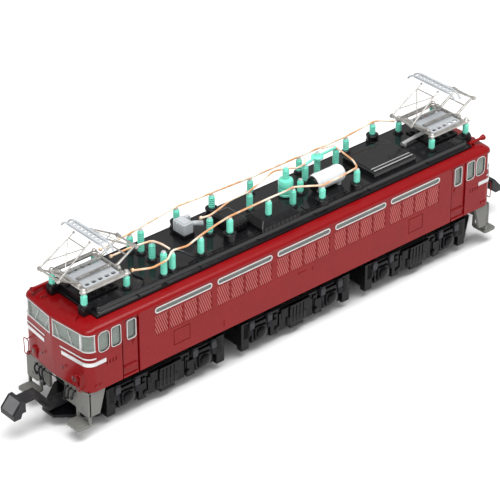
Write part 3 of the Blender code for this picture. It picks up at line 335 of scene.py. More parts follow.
# --- shapes ----------------------------------------------------------------------------------------
def rounded(x0, x1, z0, z1, radius, steps=5):
    """A rounded rectangle as a list of points."""
    points = []
    for index, (cx, cz) in enumerate(
        ((x1 - radius, z1 - radius), (x0 + radius, z1 - radius),
         (x0 + radius, z0 + radius), (x1 - radius, z0 + radius))
    ):
        for step in range(steps + 1):
            angle = math.radians(90 * (index + step / steps))
            points.append((cx + radius * math.cos(angle), cz + radius * math.sin(angle)))
    return points


def smooth_path(points, per_span=5):
    """A curve through the points."""
    points = [Vector(point) for point in points]
    padded = [points[0] * 2 - points[1], *points, points[-1] * 2 - points[-2]]
    path = []
    for before, start, end, after in zip(padded, padded[1:], padded[2:], padded[3:]):
        for step in range(per_span):
            t = step / per_span
            path.append(
                0.5 * (2 * start + (end - before) * t + (2 * before - 5 * start + 4 * end - after) * t * t
                       + (3 * start - before - 3 * end + after) * t**3)
            )
    return [*path, points[-1]]


def skin(part, rings, around=False, caps=True):
    """Faces from ring to ring; around joins the last to the first, caps closes both ends."""
    rings = [[part.verts.new(point) for point in ring] for ring in rings]
    for lower, upper in list(zip(rings, rings[1:])) + ([(rings[-1], rings[0])] if around else []):
        for i in range(len(lower)):
            j = (i + 1) % len(lower)
            part.faces.new((lower[i], lower[j], upper[j], upper[i]))
    if caps:
        part.faces.new(rings[0])
        part.faces.new(rings[-1])


def linked(name, data):
    """A new object in the scene."""
    made = bpy.data.objects.new(name, data)
    bpy.context.scene.collection.objects.link(made)
    return made


def as_object(name, mesh):
    """The object of a bmesh, which is used up."""
    data = bpy.data.meshes.new(name)
    mesh.to_mesh(data)
    mesh.free()
    return linked(name, data)


class Shape:
    """Solids gathered in one mesh, in millimetres."""

    def __init__(self):
        self.mesh = bmesh.new()

    def take(self, part, matrix=None):
        if matrix is not None:
            part.transform(matrix)
        bmesh.ops.recalc_face_normals(part, faces=part.faces)
        data = bpy.data.meshes.new("part")
        part.to_mesh(data)
        part.free()
        self.mesh.from_mesh(data)
        bpy.data.meshes.remove(data)
        return self

    def box(self, low, high, edge=0.06, segments=2):
        """A block with rounded edges."""
        part = bmesh.new()
        span = [abs(b - a) for a, b in zip(low, high)]
        middle = [(a + b) / 2 for a, b in zip(low, high)]
        bmesh.ops.create_cube(part, matrix=Matrix.Translation(middle) @ Matrix.Diagonal((*span, 1)))
        edge = min(edge, min(span) * 0.45)
        bmesh.ops.bevel(part, geom=part.edges[:], offset=edge, segments=segments, profile=0.5, affect="EDGES")
        return self.take(part)

    def turned(self, profile, centre, axis="Z", sides=24, matrix=None):
        """A lathe shape from (distance along the axis, radius) pairs."""
        part = bmesh.new()
        rings = []
        for along, radius in profile:
            ring = []
            for corner in range(sides):
                angle = 2 * math.pi * corner / sides
                a, b = radius * math.cos(angle), radius * math.sin(angle)
                offset = {"X": (along, a, b), "Y": (b, along, a), "Z": (a, b, along)}[axis]
                ring.append(Vector(centre) + Vector(offset))
            rings.append(ring)
        skin(part, rings)
        return self.take(part, matrix)

    def tube(self, points, radius, sides=10, closed=False, flat=1.0):
        """A round wire along the points; flat squeezes it across."""
        part = bmesh.new()
        points = [Vector(point) for point in points]
        count = len(points)
        side = None
        rings = []
        for index, point in enumerate(points):
            before = points[(index - 1) % count] if closed or index else point
            after = points[(index + 1) % count] if closed or index < count - 1 else point
            along = (after - before).normalized()
            if side is None:
                side = along.cross(Vector((0, 0, 1)) if abs(along.z) < 0.9 else Vector((0, 1, 0))).normalized()
            side = (side - along * side.dot(along)).normalized()
            up = along.cross(side)
            local = radius(index / (count - 1)) if callable(radius) else radius
            rings.append([
                point + (side * math.cos(a) + up * math.sin(a) * flat) * local
                for a in (2 * math.pi * corner / sides for corner in range(sides))
            ])
        skin(part, rings, closed, not closed)
        return self.take(part)

    def slab(self, outline, axis, start, end, edge=0.0):
        """An outline given thickness along an axis."""
        place = {"X": lambda a, b: (start, a, b), "Y": lambda a, b: (a, start, b), "Z": lambda a, b: (a, b, start)}
        part = bmesh.new()
        face = part.faces.new([part.verts.new(place[axis](*point)) for point in outline])
        grown = bmesh.ops.extrude_face_region(part, geom=[face])["geom"]
        along = Vector([float(axis == name) for name in "XYZ"]) * (end - start)
        bmesh.ops.translate(part, vec=along, verts=[v for v in grown if isinstance(v, bmesh.types.BMVert)])
        if edge:
            bmesh.ops.recalc_face_normals(part, faces=part.faces)
            sharp = [e for e in part.edges if e.calc_face_angle(0) > 0.6]
            bmesh.ops.bevel(part, geom=sharp, offset=edge, segments=2, profile=0.5, affect="EDGES")
        return self.take(part)

    def ring(self, outer, inner, axis, start, end):
        """A flat frame between two outlines of the same number of points."""
        place = {"X": lambda p, t: (t, *p), "Y": lambda p, t: (p[0], t, p[1]), "Z": lambda p, t: (*p, t)}[axis]
        return self.hoops([[place(point, t) for point in outline] for outline, t in (
            (outer, start), (outer, end), (inner, end), (inner, start))], around=True)

    def hoops(self, hoops, around=False, caps=False):
        """Faces between hoops of points, each closed on itself."""
        part = bmesh.new()
        skin(part, hoops, around, caps)
        return self.take(part)

    def strip(self, inner, outer, z0, z1):
        """A wall between two plan paths, from z0 to z1, closed at its ends."""
        return self.hoops([((*a, z0), (*b, z0), (*b, z1), (*a, z1)) for a, b in zip(inner, outer)], caps=True)

    def mirrored(self):
        """The same again on the other side of the middle plane."""
        part = self.mesh.copy()
        bmesh.ops.scale(part, vec=(1, -1, 1), verts=part.verts)
        bmesh.ops.reverse_faces(part, faces=part.faces)
        return self.take(part)

    def turned_end(self, end):
        """Turned to the +X end if end is 1: shapes are written for the -X end."""
        if end > 0:
            self.mesh.transform(Matrix.Rotation(math.pi, 4, "Z"))
        return self

    def both_ends(self):
        part = self.mesh.copy()
        part.transform(Matrix.Rotation(math.pi, 4, "Z"))
        return self.take(part)

    def make(self, name, finish, body=BODY, slot=None, replaces=(), smooth=35, cutters=None):
        """The finished piece, riding on a body of the frame."""
        self.mesh.transform(Matrix.Scale(MM, 4))
        piece = as_object(name, self.mesh)
        if cutters is not None:
            cut_away(piece, cutters)
        piece.data.materials.clear()
        piece.data.materials.append(FINISHES[finish])
        piece.data.shade_smooth()
        piece.data.set_sharp_from_angle(angle=math.radians(smooth))
        weighted = piece.modifiers.new("even shading", "WEIGHTED_NORMAL")
        weighted.keep_sharp = True
        weighted.weight = 80
        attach(piece, body)
        if replaces:
            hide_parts(*replaces)
        return piece


def cut_away(piece, cutters):
    """Takes the cutters' solids out of the piece."""
    cutters.mesh.transform(Matrix.Scale(MM, 4))
    tool = as_object("cutters", cutters.mesh)
    boolean = piece.modifiers.new("cuts", "BOOLEAN")
    boolean.operation = "DIFFERENCE"
    boolean.solver = "EXACT"
    boolean.use_self = True
    boolean.object = tool
    bpy.context.view_layer.update()
    graph = bpy.context.evaluated_depsgraph_get()
    mesh = bpy.data.meshes.new_from_object(piece.evaluated_get(graph))
    piece.modifiers.clear()
    piece.data = mesh
    bpy.data.objects.remove(tool)


# --- shell -----------------------------------------------------------------------------------------
def shell_outline(inset_x, inset_y, z, steps=10):
    radius = max(CORNER_RADIUS - inset_y, 0.4)
    x, y = CORNER - inset_x, HALF_WIDTH - inset_y
    points = []
    for index, (sx, sy) in enumerate(((1, 1), (-1, 1), (-1, -1), (1, -1))):
        for step in range(steps + 1):
            angle = math.radians(90 * (index + step / steps))
            points.append(
                (sx * (x - radius) + radius * math.cos(angle), sy * (y - radius) + radius * math.sin(angle), z)
            )
        if index == 1:
            points.append((-x - NOSE, 0, z))
    points.append((x + NOSE, 0, z))
    return points


def shoulder(steps=12):
    for step in range(steps + 1):
        angle = math.radians(90 * step / steps)
        share = 1 - math.cos(angle)
        z = SHOULDER_BOTTOM + (ROOF_EDGE_Z - SHOULDER_BOTTOM) * math.sin(angle)
        yield shell_outline((CORNER - ROOF_X) * share, (HALF_WIDTH - ROOF_Y) * share, z)


def corner_path(inset, y_start, x_end, steps=12):
    """Plan path along the first cab's face and round its right corner, drawn in by inset."""
    radius = CORNER_RADIUS - inset
    cx, cy = -(CORNER - CORNER_RADIUS), -(HALF_WIDTH - CORNER_RADIUS)
    path = []
    for step in range(5):
        y = -y_start + (cy + y_start) * step / 5
        share = y / cy
        path.append((-(CORNER - inset) - NOSE * (1 - share), y))
    for step in range(steps + 1):
        angle = math.radians(180 + 90 * step / steps)
        path.append((cx + radius * math.cos(angle), cy + radius * math.sin(angle)))
    path.append(((path[-1][0] + x_end) / 2, -(HALF_WIDTH - inset)))
    path.append((x_end, -(HALF_WIDTH - inset)))
    return path


CAB_WINDOWS = ((-50.05, -47.65, 18.3, 22.4, 0.85), (-47.05, -45.0, 18.3, 22.4, 0.45))
DOOR_WINDOW = (-43.4, -41.5, 18.3, 22.3, 0.4)


def side_windows():
    return (*CAB_WINDOWS, DOOR_WINDOW)


def louvre_panels():
    width = (2 * GROUP_HALF - 3 * POST_WIDTH) / 4
    for centre in GROUPS:
        for panel in range(4):
            start = centre - GROUP_HALF + panel * (width + POST_WIDTH)
            yield start, start + width


def shell_cutters():
    cut = Shape()
    cut.hoops([shell_outline(1, 1, z, 4) for z in (BODY_BOTTOM - 1, SHOULDER_BOTTOM - 0.1)], caps=True)
    cut.box((-ROOF_X, -ROOF_Y, 21.5), (ROOF_X, ROOF_Y, 26), 0.01)
    ends = Shape()
    for x0, x1, z0, z1, radius in side_windows():
        ends.slab(rounded(x0, x1, z0, z1, radius), "Y", -HALF_WIDTH - 1, -HALF_WIDTH + 2)
    ends.box((-60, -12, 19.0), (-50.9, -0.5, 22.5), 0.35, 4)
    ends.slab(rounded(-44.55, -40.65, 10.6, 22.75, 0.15), "Y", -HALF_WIDTH - 1, -HALF_WIDTH + 0.22)
    ends.box((-41.0, -10.5, 9), (-40.65, -HALF_WIDTH + 0.6, 22.85), 0.02)
    ends.box((-44.75, -10.5, 9), (-44.55, -HALF_WIDTH + 0.5, 18.6), 0.02)
    for x in (-48.3, -47.6, -46.9, -46.2):
        ends.slab(rounded(x - 0.11, x + 0.11, 14.95, 15.9, 0.1, 3), "Y", -HALF_WIDTH - 1, -HALF_WIDTH + 0.35)
    for x0, x1, z0, z1 in ((-32.6, -28.6, 15.35, 15.5), (-32.6, -28.6, 12.2, 12.35), (-32.6, -32.45, 12.2, 15.5),
                           (-28.75, -28.6, 12.2, 15.5)):
        ends.box((x0, -10.5, z0), (x1, -HALF_WIDTH + 0.12, z1), 0.01)
    ends.mirrored().both_ends()
    for start, end in louvre_panels():
        ends.box((start, -10.5, 16.25), (end, -HALF_WIDTH + 0.25, 20.6), 0.05)
        ends.box((start, HALF_WIDTH - 0.25, 16.25), (end, 10.5, 20.6), 0.05)
    for centre in GROUPS:
        for side in (-1, 1):
            outline = rounded(centre - 6.68, centre + 6.68, 21.25, 22.17, 0.44, 5)
            ends.slab(outline, "Y", side * (HALF_WIDTH + 1), side * (HALF_WIDTH - 1.6))
    return cut.take(ends.mesh)


def clipped(outline, low, high):
    """The part of an outline between two upright lines."""
    for limit, sign in ((low, 1), (high, -1)):
        kept = []
        for (x0, z0), (x1, z1) in zip(outline, outline[1:] + outline[:1]):
            inside0, inside1 = sign * (x0 - limit) >= 0, sign * (x1 - limit) >= 0
            if inside0:
                kept.append((x0, z0))
            if inside0 != inside1:
                share = (limit - x0) / (x1 - x0)
                kept.append((limit, z0 + share * (z1 - z0)))
        outline = kept
    return outline


def build_shell():
    settings = bpy.context.scene.loco_body
    shell = Shape().hoops([shell_outline(0, 0, BODY_BOTTOM), *shoulder()], caps=True)
    shell.make("painted_shell", "red", slot="body_red", replaces=["body_shell"], smooth=28, cutters=shell_cutters())

    slats = Shape()
    low, high = SLAT_LOW, SLAT_HIGH
    lean = settings.louvre_lean * (high - low)
    for start, end in louvre_panels():
        x = start - lean
        while x < end:
            outline = clipped(
                [(x + lean, low), (x + lean + SLAT_WIDTH, low), (x + SLAT_WIDTH, high), (x, high)],
                start + 0.08, end - 0.08,
            )
            if len(outline) > 2:
                for side in (-1, 1):
                    face = [(-a, b) for a, b in outline] if side > 0 else outline
                    slats.slab(face, "Y", side * (HALF_WIDTH - 0.3), side * (HALF_WIDTH - 0.06))
            x += settings.louvre_pitch
    # The slats take the lighter louvre colour, a painted highlight on their faces.
    slats.make("louvre_slats", "slat", slot="body_red", smooth=20)


def build_cab_fittings():
    """Handrails, lamps, brackets and whistles of both cabs, and plates on the sides."""
    face = -CORNER
    for end, word in ENDS:
        fittings = Shape()
        rail = rounded(7.3, 8.7, 10.6, 14.1, 0.35, 4)
        fittings.tube([(face - 0.95, -y, z) for y, z in rail], 0.1, 8, closed=True)
        for z in (10.75, 13.95):
            fittings.tube([(face + 0.1, -8.0, z), (face - 0.95, -8.0, z)], 0.1, 8)
        fittings.turned([(0, 0.95), (-0.45, 0.9), (-0.55, 0.78)], (face - 0.1, -6.2, 12.2), "X", 20)
        fittings.box((face - 0.45, -6.95, 10.6), (face + 0.1, -5.45, 11.5), 0.15)
        hook = [(-50.4, -4.4, 23.75), (-50.8, -4.7, 24.15), (-51.6, -5.1, 24.05), (-51.8, -5.2, 23.3)]
        fittings.tube(hook, 0.14, 8)
        fittings.box((-51.95, -5.6, 23.05), (-51.5, -4.6, 23.4), 0.1)
        fittings.tube(smooth_path([(-44.15, -9.7, 12.45), (-44.0, -9.88, 12.45), (-41.5, -9.88, 12.45),
                                   (-41.3, -9.7, 12.45)], 4), 0.13, 8)
        fittings.box((-51.2, -9.95, 11.1), (-50.5, -9.7, 11.6), 0.06)
        fittings.box((-50.2, -9.95, 11.1), (-49.5, -9.7, 11.6), 0.06)
        fittings.box((-41.0, -9.98, 22.3), (-40.3, -9.7, 22.75), 0.1)
        fittings.box((-42.1, -9.74, 16.8), (-41.6, -9.58, 17.5), 0.08)
        fittings.mirrored().turned_end(end)
        fittings.make(word + "_cab_fittings", "red", slot="body_red")

        lenses = Shape()
        lenses.turned([(0.1, 0.62), (0, 0.62), (-0.14, 0.5), (-0.2, 0.25)], (face - 0.62, -6.2, 12.2), "X", 20)
        lenses.turned([(0.1, 0.3), (0, 0.3), (-0.08, 0.15)], (face - 0.95, -3.1, 13.3), "X", 12)
        lenses.mirrored().turned_end(end).make(word + "_tail_lenses", "lens", slot="body_red")

        whistle = Shape().turned(
            [(0, 0.3), (3.0, 0.3), (3.3, 0.42), (4.0, 0.62), (4.2, 0.62), (4.2, 0.5), (3.7, 0.2)],
            (0, 0, 0), "X", 16, Matrix.Translation((-48.2, 7.0, 24.7)) @ Matrix.Rotation(math.pi, 4, "Z"),
        )
        whistle.box((-49.6, 6.7, 23.75), (-49.2, 7.3, 24.6), 0.08)
        whistle.turned_end(end).make(word + "_whistle", "red", slot="body_red")

    plates = Shape()
    for x0, x1, z0, z1 in ((-1.4, 0.7, 14.9, 15.1), (2.35, 2.65, 14.4, 15.0), (-20.3, -20.05, 11.2, 12.4)):
        plates.box((x0, -9.92, z0), (x1, -9.7, z1), 0.03)
    plates.mirrored().make("side_plates", "red", slot="body_red")


def build_trim():
    """Silver window frames, upper light frames and the bands round both noses."""
    width = bpy.context.scene.loco_body.frame_width
    for end, word in ENDS:
        frames = Shape()

        def round_corner(y_start, x_end, z0, z1, proud=0.1, depth=0.5):
            frames.strip(corner_path(depth, y_start, x_end), corner_path(-proud, y_start, x_end), z0, z1)

        round_corner(0.42, -50.9, 22.45, 22.45 + width)
        round_corner(0.42, -50.9, 18.9, 18.9 + 1.3 * width)
        pillar = [(-(CORNER - i) - NOSE * (1 - y / FACE_HALF), -y) for i, y in ((0.5, 0.42), (-0.1, 0.42))]
        inner = [pillar[0], (pillar[0][0] + 0.02, -0.58)]
        frames.strip(inner, [(pillar[1][0], -0.42), (pillar[1][0] + 0.02, -0.58)], 19.0, 22.5)
        frames.box((-51.0, -HALF_WIDTH - 0.08, 19.0), (-50.85, -HALF_WIDTH + 0.5, 22.5), 0.04)
        frames.box((-52.86, -8.05, 19.0), (-52.2, -7.75, 22.5), 0.06)
        for x0, x1, z0, z1, radius in side_windows():
            w = width * 0.8
            outer = rounded(x0 - w, x1 + w, z0 - w, z1 + w, radius + w)
            frames.ring(outer, rounded(x0, x1, z0, z1, radius), "Y", -HALF_WIDTH + 0.5, -HALF_WIDTH - 0.07)
        frames.mirrored().turned_end(end).make(word + "_window_frames", "silver", slot="silver_metal")

        bands = Shape()
        bands.strip(corner_path(0.1, 2.6, -48.5), corner_path(-0.12, 2.6, -48.5), 15.85, 16.65)
        bands.strip(corner_path(0.1, 2.3, -50.9), corner_path(-0.14, 2.3, -50.9), 17.35, 17.6)
        bands.mirrored().turned_end(end).make(word + "_silver_bands", "silver", slot="silver_metal")

    lights = Shape()
    for centre in GROUPS:
        outer = rounded(centre - 6.86, centre + 6.86, 21.08, 22.34, 0.62, 6)
        inner = rounded(centre - 6.66, centre + 6.66, 21.27, 22.15, 0.43, 6)
        lights.ring(outer, inner, "Y", -HALF_WIDTH + 0.3, -HALF_WIDTH - 0.14)
    lights.mirrored().make("upper_light_frames", "silver", slot="silver_metal")


def build_glazing():
    for end, word in ENDS:
        screen = Shape().strip(corner_path(0.45, 0.55, -50.95), corner_path(0.2, 0.55, -50.95), 18.95, 22.5)
        for x0, x1, z0, z1, radius in CAB_WINDOWS:
            screen.slab(rounded(x0, x1, z0, z1, radius), "Y", -HALF_WIDTH + 0.45, -HALF_WIDTH + 0.2, 0.03)
        screen.mirrored().turned_end(end)
        screen.make(word + "_cab_glass", "glass", slot="clear_glazing", replaces=[word + "_windscreen"])

        wipers = Shape()
        for y in (2.2, 5.6):
            x = -(CORNER + NOSE * (1 - y / FACE_HALF)) - 0.02
            wipers.tube([(x, -y, 19.05), (x - 0.1, -y + 0.2, 19.7), (x - 0.02, -y + 1.2, 21.7)], 0.05, 6)
        wipers.mirrored().turned_end(end).make(word + "_wipers", "silver", slot="silver_metal")
    for side, word in ((-1, "right"), (1, "left")):
        panes = Shape()
        for centre in GROUPS:
            outline = rounded(centre - 6.64, centre + 6.64, 21.29, 22.13, 0.41, 6)
            panes.slab(outline, "Y", side * (HALF_WIDTH - 0.4), side * (HALF_WIDTH - 0.1), 0.03)
        x0, x1, z0, z1, radius = DOOR_WINDOW
        for low, high in ((x0, x1), (-x1, -x0)):
            outline = rounded(low, high, z0, z1, radius)
            panes.slab(outline, "Y", side * (HALF_WIDTH - 0.6), side * (HALF_WIDTH - 0.35), 0.03)
        panes.make(word + "_side_glass", "light_glass", slot="clear_glazing", replaces=[word + "_side_glazing"])


# --- roof ------------------------------------------------------------------------------------------
def pantograph_posts(side):
    return [(end * PANTO_X + step, side * POST_Y, 0, 2.2) for end in (-1, 1) for step in (-POST_X, POST_X)]


# Each insulator: x, y, the height of its stand above the deck, and its own height.
NEAR = {
    "tall": (-31.7, -6.2, 0, 4.7), "front": (-29.3, -5.7, 0, 3.3), "breaker": (-21.8, -5.0, 0, 3.3),
    "front_drum": (-14.7, -5.1, 2.2, 3.0), "hipped_box": (-4.7, -4.8, 2.0, 3.1), "centre": (3.2, -3.0, 0, 3.3),
    "tank": (8.2, -6.0, 1.3, 2.3), "rear_drum": (17.4, -6.0, 1.4, 2.8),
}
MIDDLE = {
    "tall_crossing": (-29.9, 2.8, 0, 4.6), "crossing": (-29.9, -0.5, 0, 3.3), "inner": (-15.7, -0.4, 0, 3.1),
    "box": (-4.2, 1.3, 0, 3.3), "low": (7.6, -0.3, 0, 2.6), "lever": (11.3, 2.4, 0, 3.3),
    "tall_lever": (14.6, 2.5, 0, 4.9), "end": (20.3, 3.2, 0, 3.3),
}
FAR = {
    "front": (-31.1, 4.6, 0, 3.0), "breaker": (-18.9, 5.7, 1.6, 2.5), "drum": (-11.0, 4.6, 1.9, 2.7),
    "second": (0.1, 6.1, 0, 2.6), "third": (13.0, 6.1, 0, 2.6), "fourth": (25.7, 6.0, 0, 2.6),
    "fifth": (33.0, 5.9, 1.6, 2.3),
}


def rows():
    yield "near_insulators", [*NEAR.values(), *pantograph_posts(-1)]
    yield "middle_insulators", list(MIDDLE.values())
    yield "far_insulators", [*FAR.values(), *pantograph_posts(1)]


def deck_ring(inset, z, radius=0.5):
    outline = rounded(-ROOF_X + 0.08 + inset, ROOF_X - 0.08 - inset, -ROOF_Y + 0.08 + inset,
                      ROOF_Y - 0.08 - inset, radius, 4)
    return [(x, y, z) for x, y in outline]


def build_roof():
    deck = Shape().hoops(
        [deck_ring(0, 23.1), deck_ring(0, ROOF_EDGE_Z + 0.4), deck_ring(0.06, ROOF_EDGE_Z + 0.48),
         deck_ring(0.6, ROOF_EDGE_Z + 0.56), deck_ring(0.66, ROOF_EDGE_Z + 0.62), deck_ring(0.74, DECK - 0.15),
         deck_ring(0.82, DECK - 0.03), deck_ring(0.9, DECK)], caps=True,
    )
    x0, x1, y0, y1 = 22.3, 34.0, -6.0, 3.4
    deck.slab(rounded(x0, x1, y0, y1, 0.3), "Z", DECK - 0.2, DECK + 1.2, 0.12)
    deck.slab(rounded(x0 + 0.6, x1 - 0.6, y0 + 0.6, y1 - 0.6, 0.3), "Z", DECK + 1.1, DECK + 1.32, 0.06)
    deck.box((-12.9, -3.7, DECK - 0.1), (-8.6, 2.6, DECK + 2.3), 0.7, 5)
    for x in (-26.4, -6.5, 6.0):
        deck.slab(rounded(x - 1.9, x + 1.9, -6.3, -3.9 if x > 0 else 4.6, 0.25), "Z", DECK - 0.1, DECK + 0.16, 0.05)
    deck.make("roof_deck", "deck", slot="roof_black", replaces=["roof_panel"])

    black = Shape()
    for name, posts in rows():
        for x, y, stand, _ in posts:
            if (x, y) == NEAR["hipped_box"][:2]:
                continue
            if stand:
                black.turned([(0, 1.35), (0.25, 1.35), (0.3, 1.22), (stand - 0.5, 1.2), (stand - 0.4, 1.32),
                              (stand - 0.12, 1.32), (stand, 1.2)], (x, y, DECK), "Z", 24)
            else:
                black.turned([(0, 1.05), (0.18, 1.05), (0.24, 0.8), (0.42, 0.78), (0.5, 0.68)], (x, y, DECK), "Z", 16)
                black.box((x - 1.15, y - 0.35, DECK), (x + 1.15, y + 0.35, DECK + 0.18), 0.05)
    for end in (-1, 1):
        for side in (-1, 1):
            x, y = end * (PANTO_X + POST_X), side * POST_Y
            black.box((x + end * 0.9, y - 0.9, ROOF_EDGE_Z + 0.1), (x - end * 2.4, y + 0.9, DECK + 0.1), 0.15)
        x = end * PANTO_X
        black.slab(rounded(x - 3.9, x + 3.9, -3.8, 3.8, 0.4), "Z", DECK - 0.1, DECK + 0.35, 0.08)
        for dx in (-3.0, -1.0, 1.0, 3.0):
            for y in (-2.6, 2.6):
                black.turned([(0, 0.55), (0.3, 0.5), (0.38, 0.3)], (x + dx, y, DECK + 0.3), "Z", 14)
    outer, inner = ([(x, y) for x, y, _ in deck_ring(inset, DECK)] for inset in (1.0, 1.14))
    black.ring(outer, inner, "Z", DECK - 0.05, DECK + 0.045)
    for y in (-6.55, -5.95):
        black.tube([(-25.6, y, DECK + 0.25), (15.0, y, DECK + 0.25)], 0.1, 8)
    for index in range(15):
        x = -25.0 + 2.8 * index
        black.box((x - 0.09, -6.65, DECK - 0.05), (x + 0.09, -5.85, DECK + 0.2), 0.03)
    for side in (-1, 1):
        for x in (-38.5, -23.7, -9.0, 5.6, 20.0, 36.2):
            y = side * 7.2
            black.box((x - 0.08, y - 0.3, ROOF_EDGE_Z + 0.3), (x + 0.08, y + 0.3, ROOF_EDGE_Z + 0.75), 0.03)
    black.tube(smooth_path([(-29.0, -1.8, DECK + 0.4), (-27.2, -2.6, DECK + 1.8), (-25.8, -4.2, DECK + 2.0),
                            (-24.4, -5.8, DECK + 1.0), (-23.6, -6.3, DECK + 0.2)]), 0.22, 8)
    black.tube(smooth_path([(-36.8, -6.2, DECK + 0.15), (-35.4, -4.6, DECK + 0.2), (-35.9, -2.4, DECK + 0.15),
                            (-34.7, -0.6, DECK + 0.15)]), 0.14, 8)
    ring = [(20.8 + 0.85 * math.cos(a), -0.2 + 0.85 * math.sin(a), DECK + 0.15)
            for a in (2 * math.pi * i / 16 for i in range(16))]
    black.tube(ring, 0.2, 8, closed=True)
    for x in (-12.2, -11.4, -10.6, -9.8):
        black.box((x - 0.12, -3.85, DECK + 0.2), (x + 0.12, 2.75, DECK + 1.9), 0.05)
    black.make("roof_fittings", "black", slot="roof_black")

    trim = Shape()
    for y in (-5.3, -4.4):
        trim.box((22.8, y - 0.1, DECK + 1.3), (33.4, y + 0.1, DECK + 1.5), 0.04)
    pipe = [(35.6, -0.1, DECK + 0.75), (39.0, 0.15, DECK + 0.85), (42.2, 0.45, DECK + 0.75)]
    trim.tube(smooth_path(pipe), 0.42, 10)
    trim.box((36.0, -0.5, DECK), (36.6, 0.4, DECK + 0.7), 0.08)
    trim.make("roof_bright_trim", "silver", slot="silver_metal")


def insulator_profile(height, radius, pitch):
    """Sheds of an insulator from its foot to its cap."""
    profile = [(0, radius * 0.9)]
    sheds = max(2, round((height - 0.5) / pitch))
    step = (height - 0.45) / sheds
    for shed in range(sheds):
        z = 0.1 + shed * step
        profile += [(z, radius * 0.86), (z + 0.3 * step, radius), (z + 0.62 * step, radius),
                    (z + 0.9 * step, radius * 0.86)]
    profile += [(height - 0.3, radius * 0.8), (height - 0.1, radius * 0.76), (height, radius * 0.5)]
    return profile


def build_insulators():
    pitch = bpy.context.scene.loco_roof.rib_pitch
    caps = Shape()
    for name, posts in rows():
        row = Shape()
        for x, y, stand, height in posts:
            foot = DECK + stand + (0 if stand else INSULATOR_FOOT) + 0.04
            row.turned(insulator_profile(height, 0.66, pitch), (x, y, foot), "Z", 18)
            caps.turned([(-0.05, 0.42), (0.1, 0.42), (0.16, 0.3)], (x, y, foot + height), "Z", 12)
        row.make(name.replace("insulators", "insulator_row"), "mint", slot="insulator_mint", replaces=[name])
    caps.make("insulator_caps", "silver", slot="silver_metal")


def top(post):
    """Where a wire lies on an insulator's cap."""
    x, y, stand, height = post
    return (x, y, DECK + stand + (0 if stand else INSULATOR_FOOT) + height + 0.49)


def wire_routes():
    start, base = -PANTO_X + 6.2, PANTO_BASE_Z + 0.3
    return {
        "near_busbar": [
            (start, -4.8, base), (-35.0, -7.0, 29.0), (-31.7, -7.2, 29.4), (-30.6, -6.6, 29.6), top(NEAR["front"]),
            (-25.6, -5.8, 29.4), top(NEAR["breaker"]), (-17.4, -5.0, 30.7), top(NEAR["front_drum"]),
            top(NEAR["hipped_box"]), (0.3, -4.0, 30.4), top(NEAR["centre"]), (5.6, -4.4, 29.7), top(NEAR["tank"]),
            (13.0, -6.2, 29.9), top(NEAR["rear_drum"]), (19.0, -3.2, 29.9), top(MIDDLE["end"]), (21.0, 4.6, 29.4),
            (18.4, 5.4, 29.2),
        ],
        "crossing_busbar": [
            (start, 1.6, base), (-34.0, 1.2, 29.0), top(MIDDLE["crossing"]), (-29.4, -2.6, 29.9),
            (-29.3, -5.0, 29.85),
        ],
        "centre_busbar": [
            (-17.2, 0.6, 29.15), top(MIDDLE["inner"]), (-13.2, -0.2, 30.0), (-9.4, 0.9, 30.0), top(MIDDLE["box"]),
            (1.6, 3.4, 29.6), (4.0, 3.6, 30.2), (6.4, 2.8, 30.2), (8.9, 1.9, 29.8), top(MIDDLE["lever"]),
            (12.9, 4.2, 29.5),
        ],
        "far_busbar": [
            (start, 4.8, base), (-35.4, 4.8, 29.0), *[top(post) for post in FAR.values()], (34.6, 5.7, 29.7),
            (PANTO_X - 6.2, 4.8, base),
        ],
    }


def bent_path(points, bend=0.4):
    """Straight runs between the points, each corner eased over a short bend."""
    points = [Vector(point) for point in points]
    path = [points[0]]
    for before, corner, after in zip(points, points[1:], points[2:]):
        for end in (before, after):
            away = end - corner
            path.append(corner + away * min(0.4, bend / max(away.length, 0.01)))
    return [*path, points[-1]]


def build_wires():
    radius = bpy.context.scene.loco_roof.wire_radius
    for name, points in wire_routes().items():
        wire = Shape().tube(bent_path(points), radius, 8)
        wire.turned([(-0.1, 0.28), (0.0, 0.36), (0.35, 0.36), (0.45, 0.26)], points[0], "X", 10)
        wire.make(name.replace("busbar", "roof_wire"), "copper", slot="copper_wire", replaces=[name])


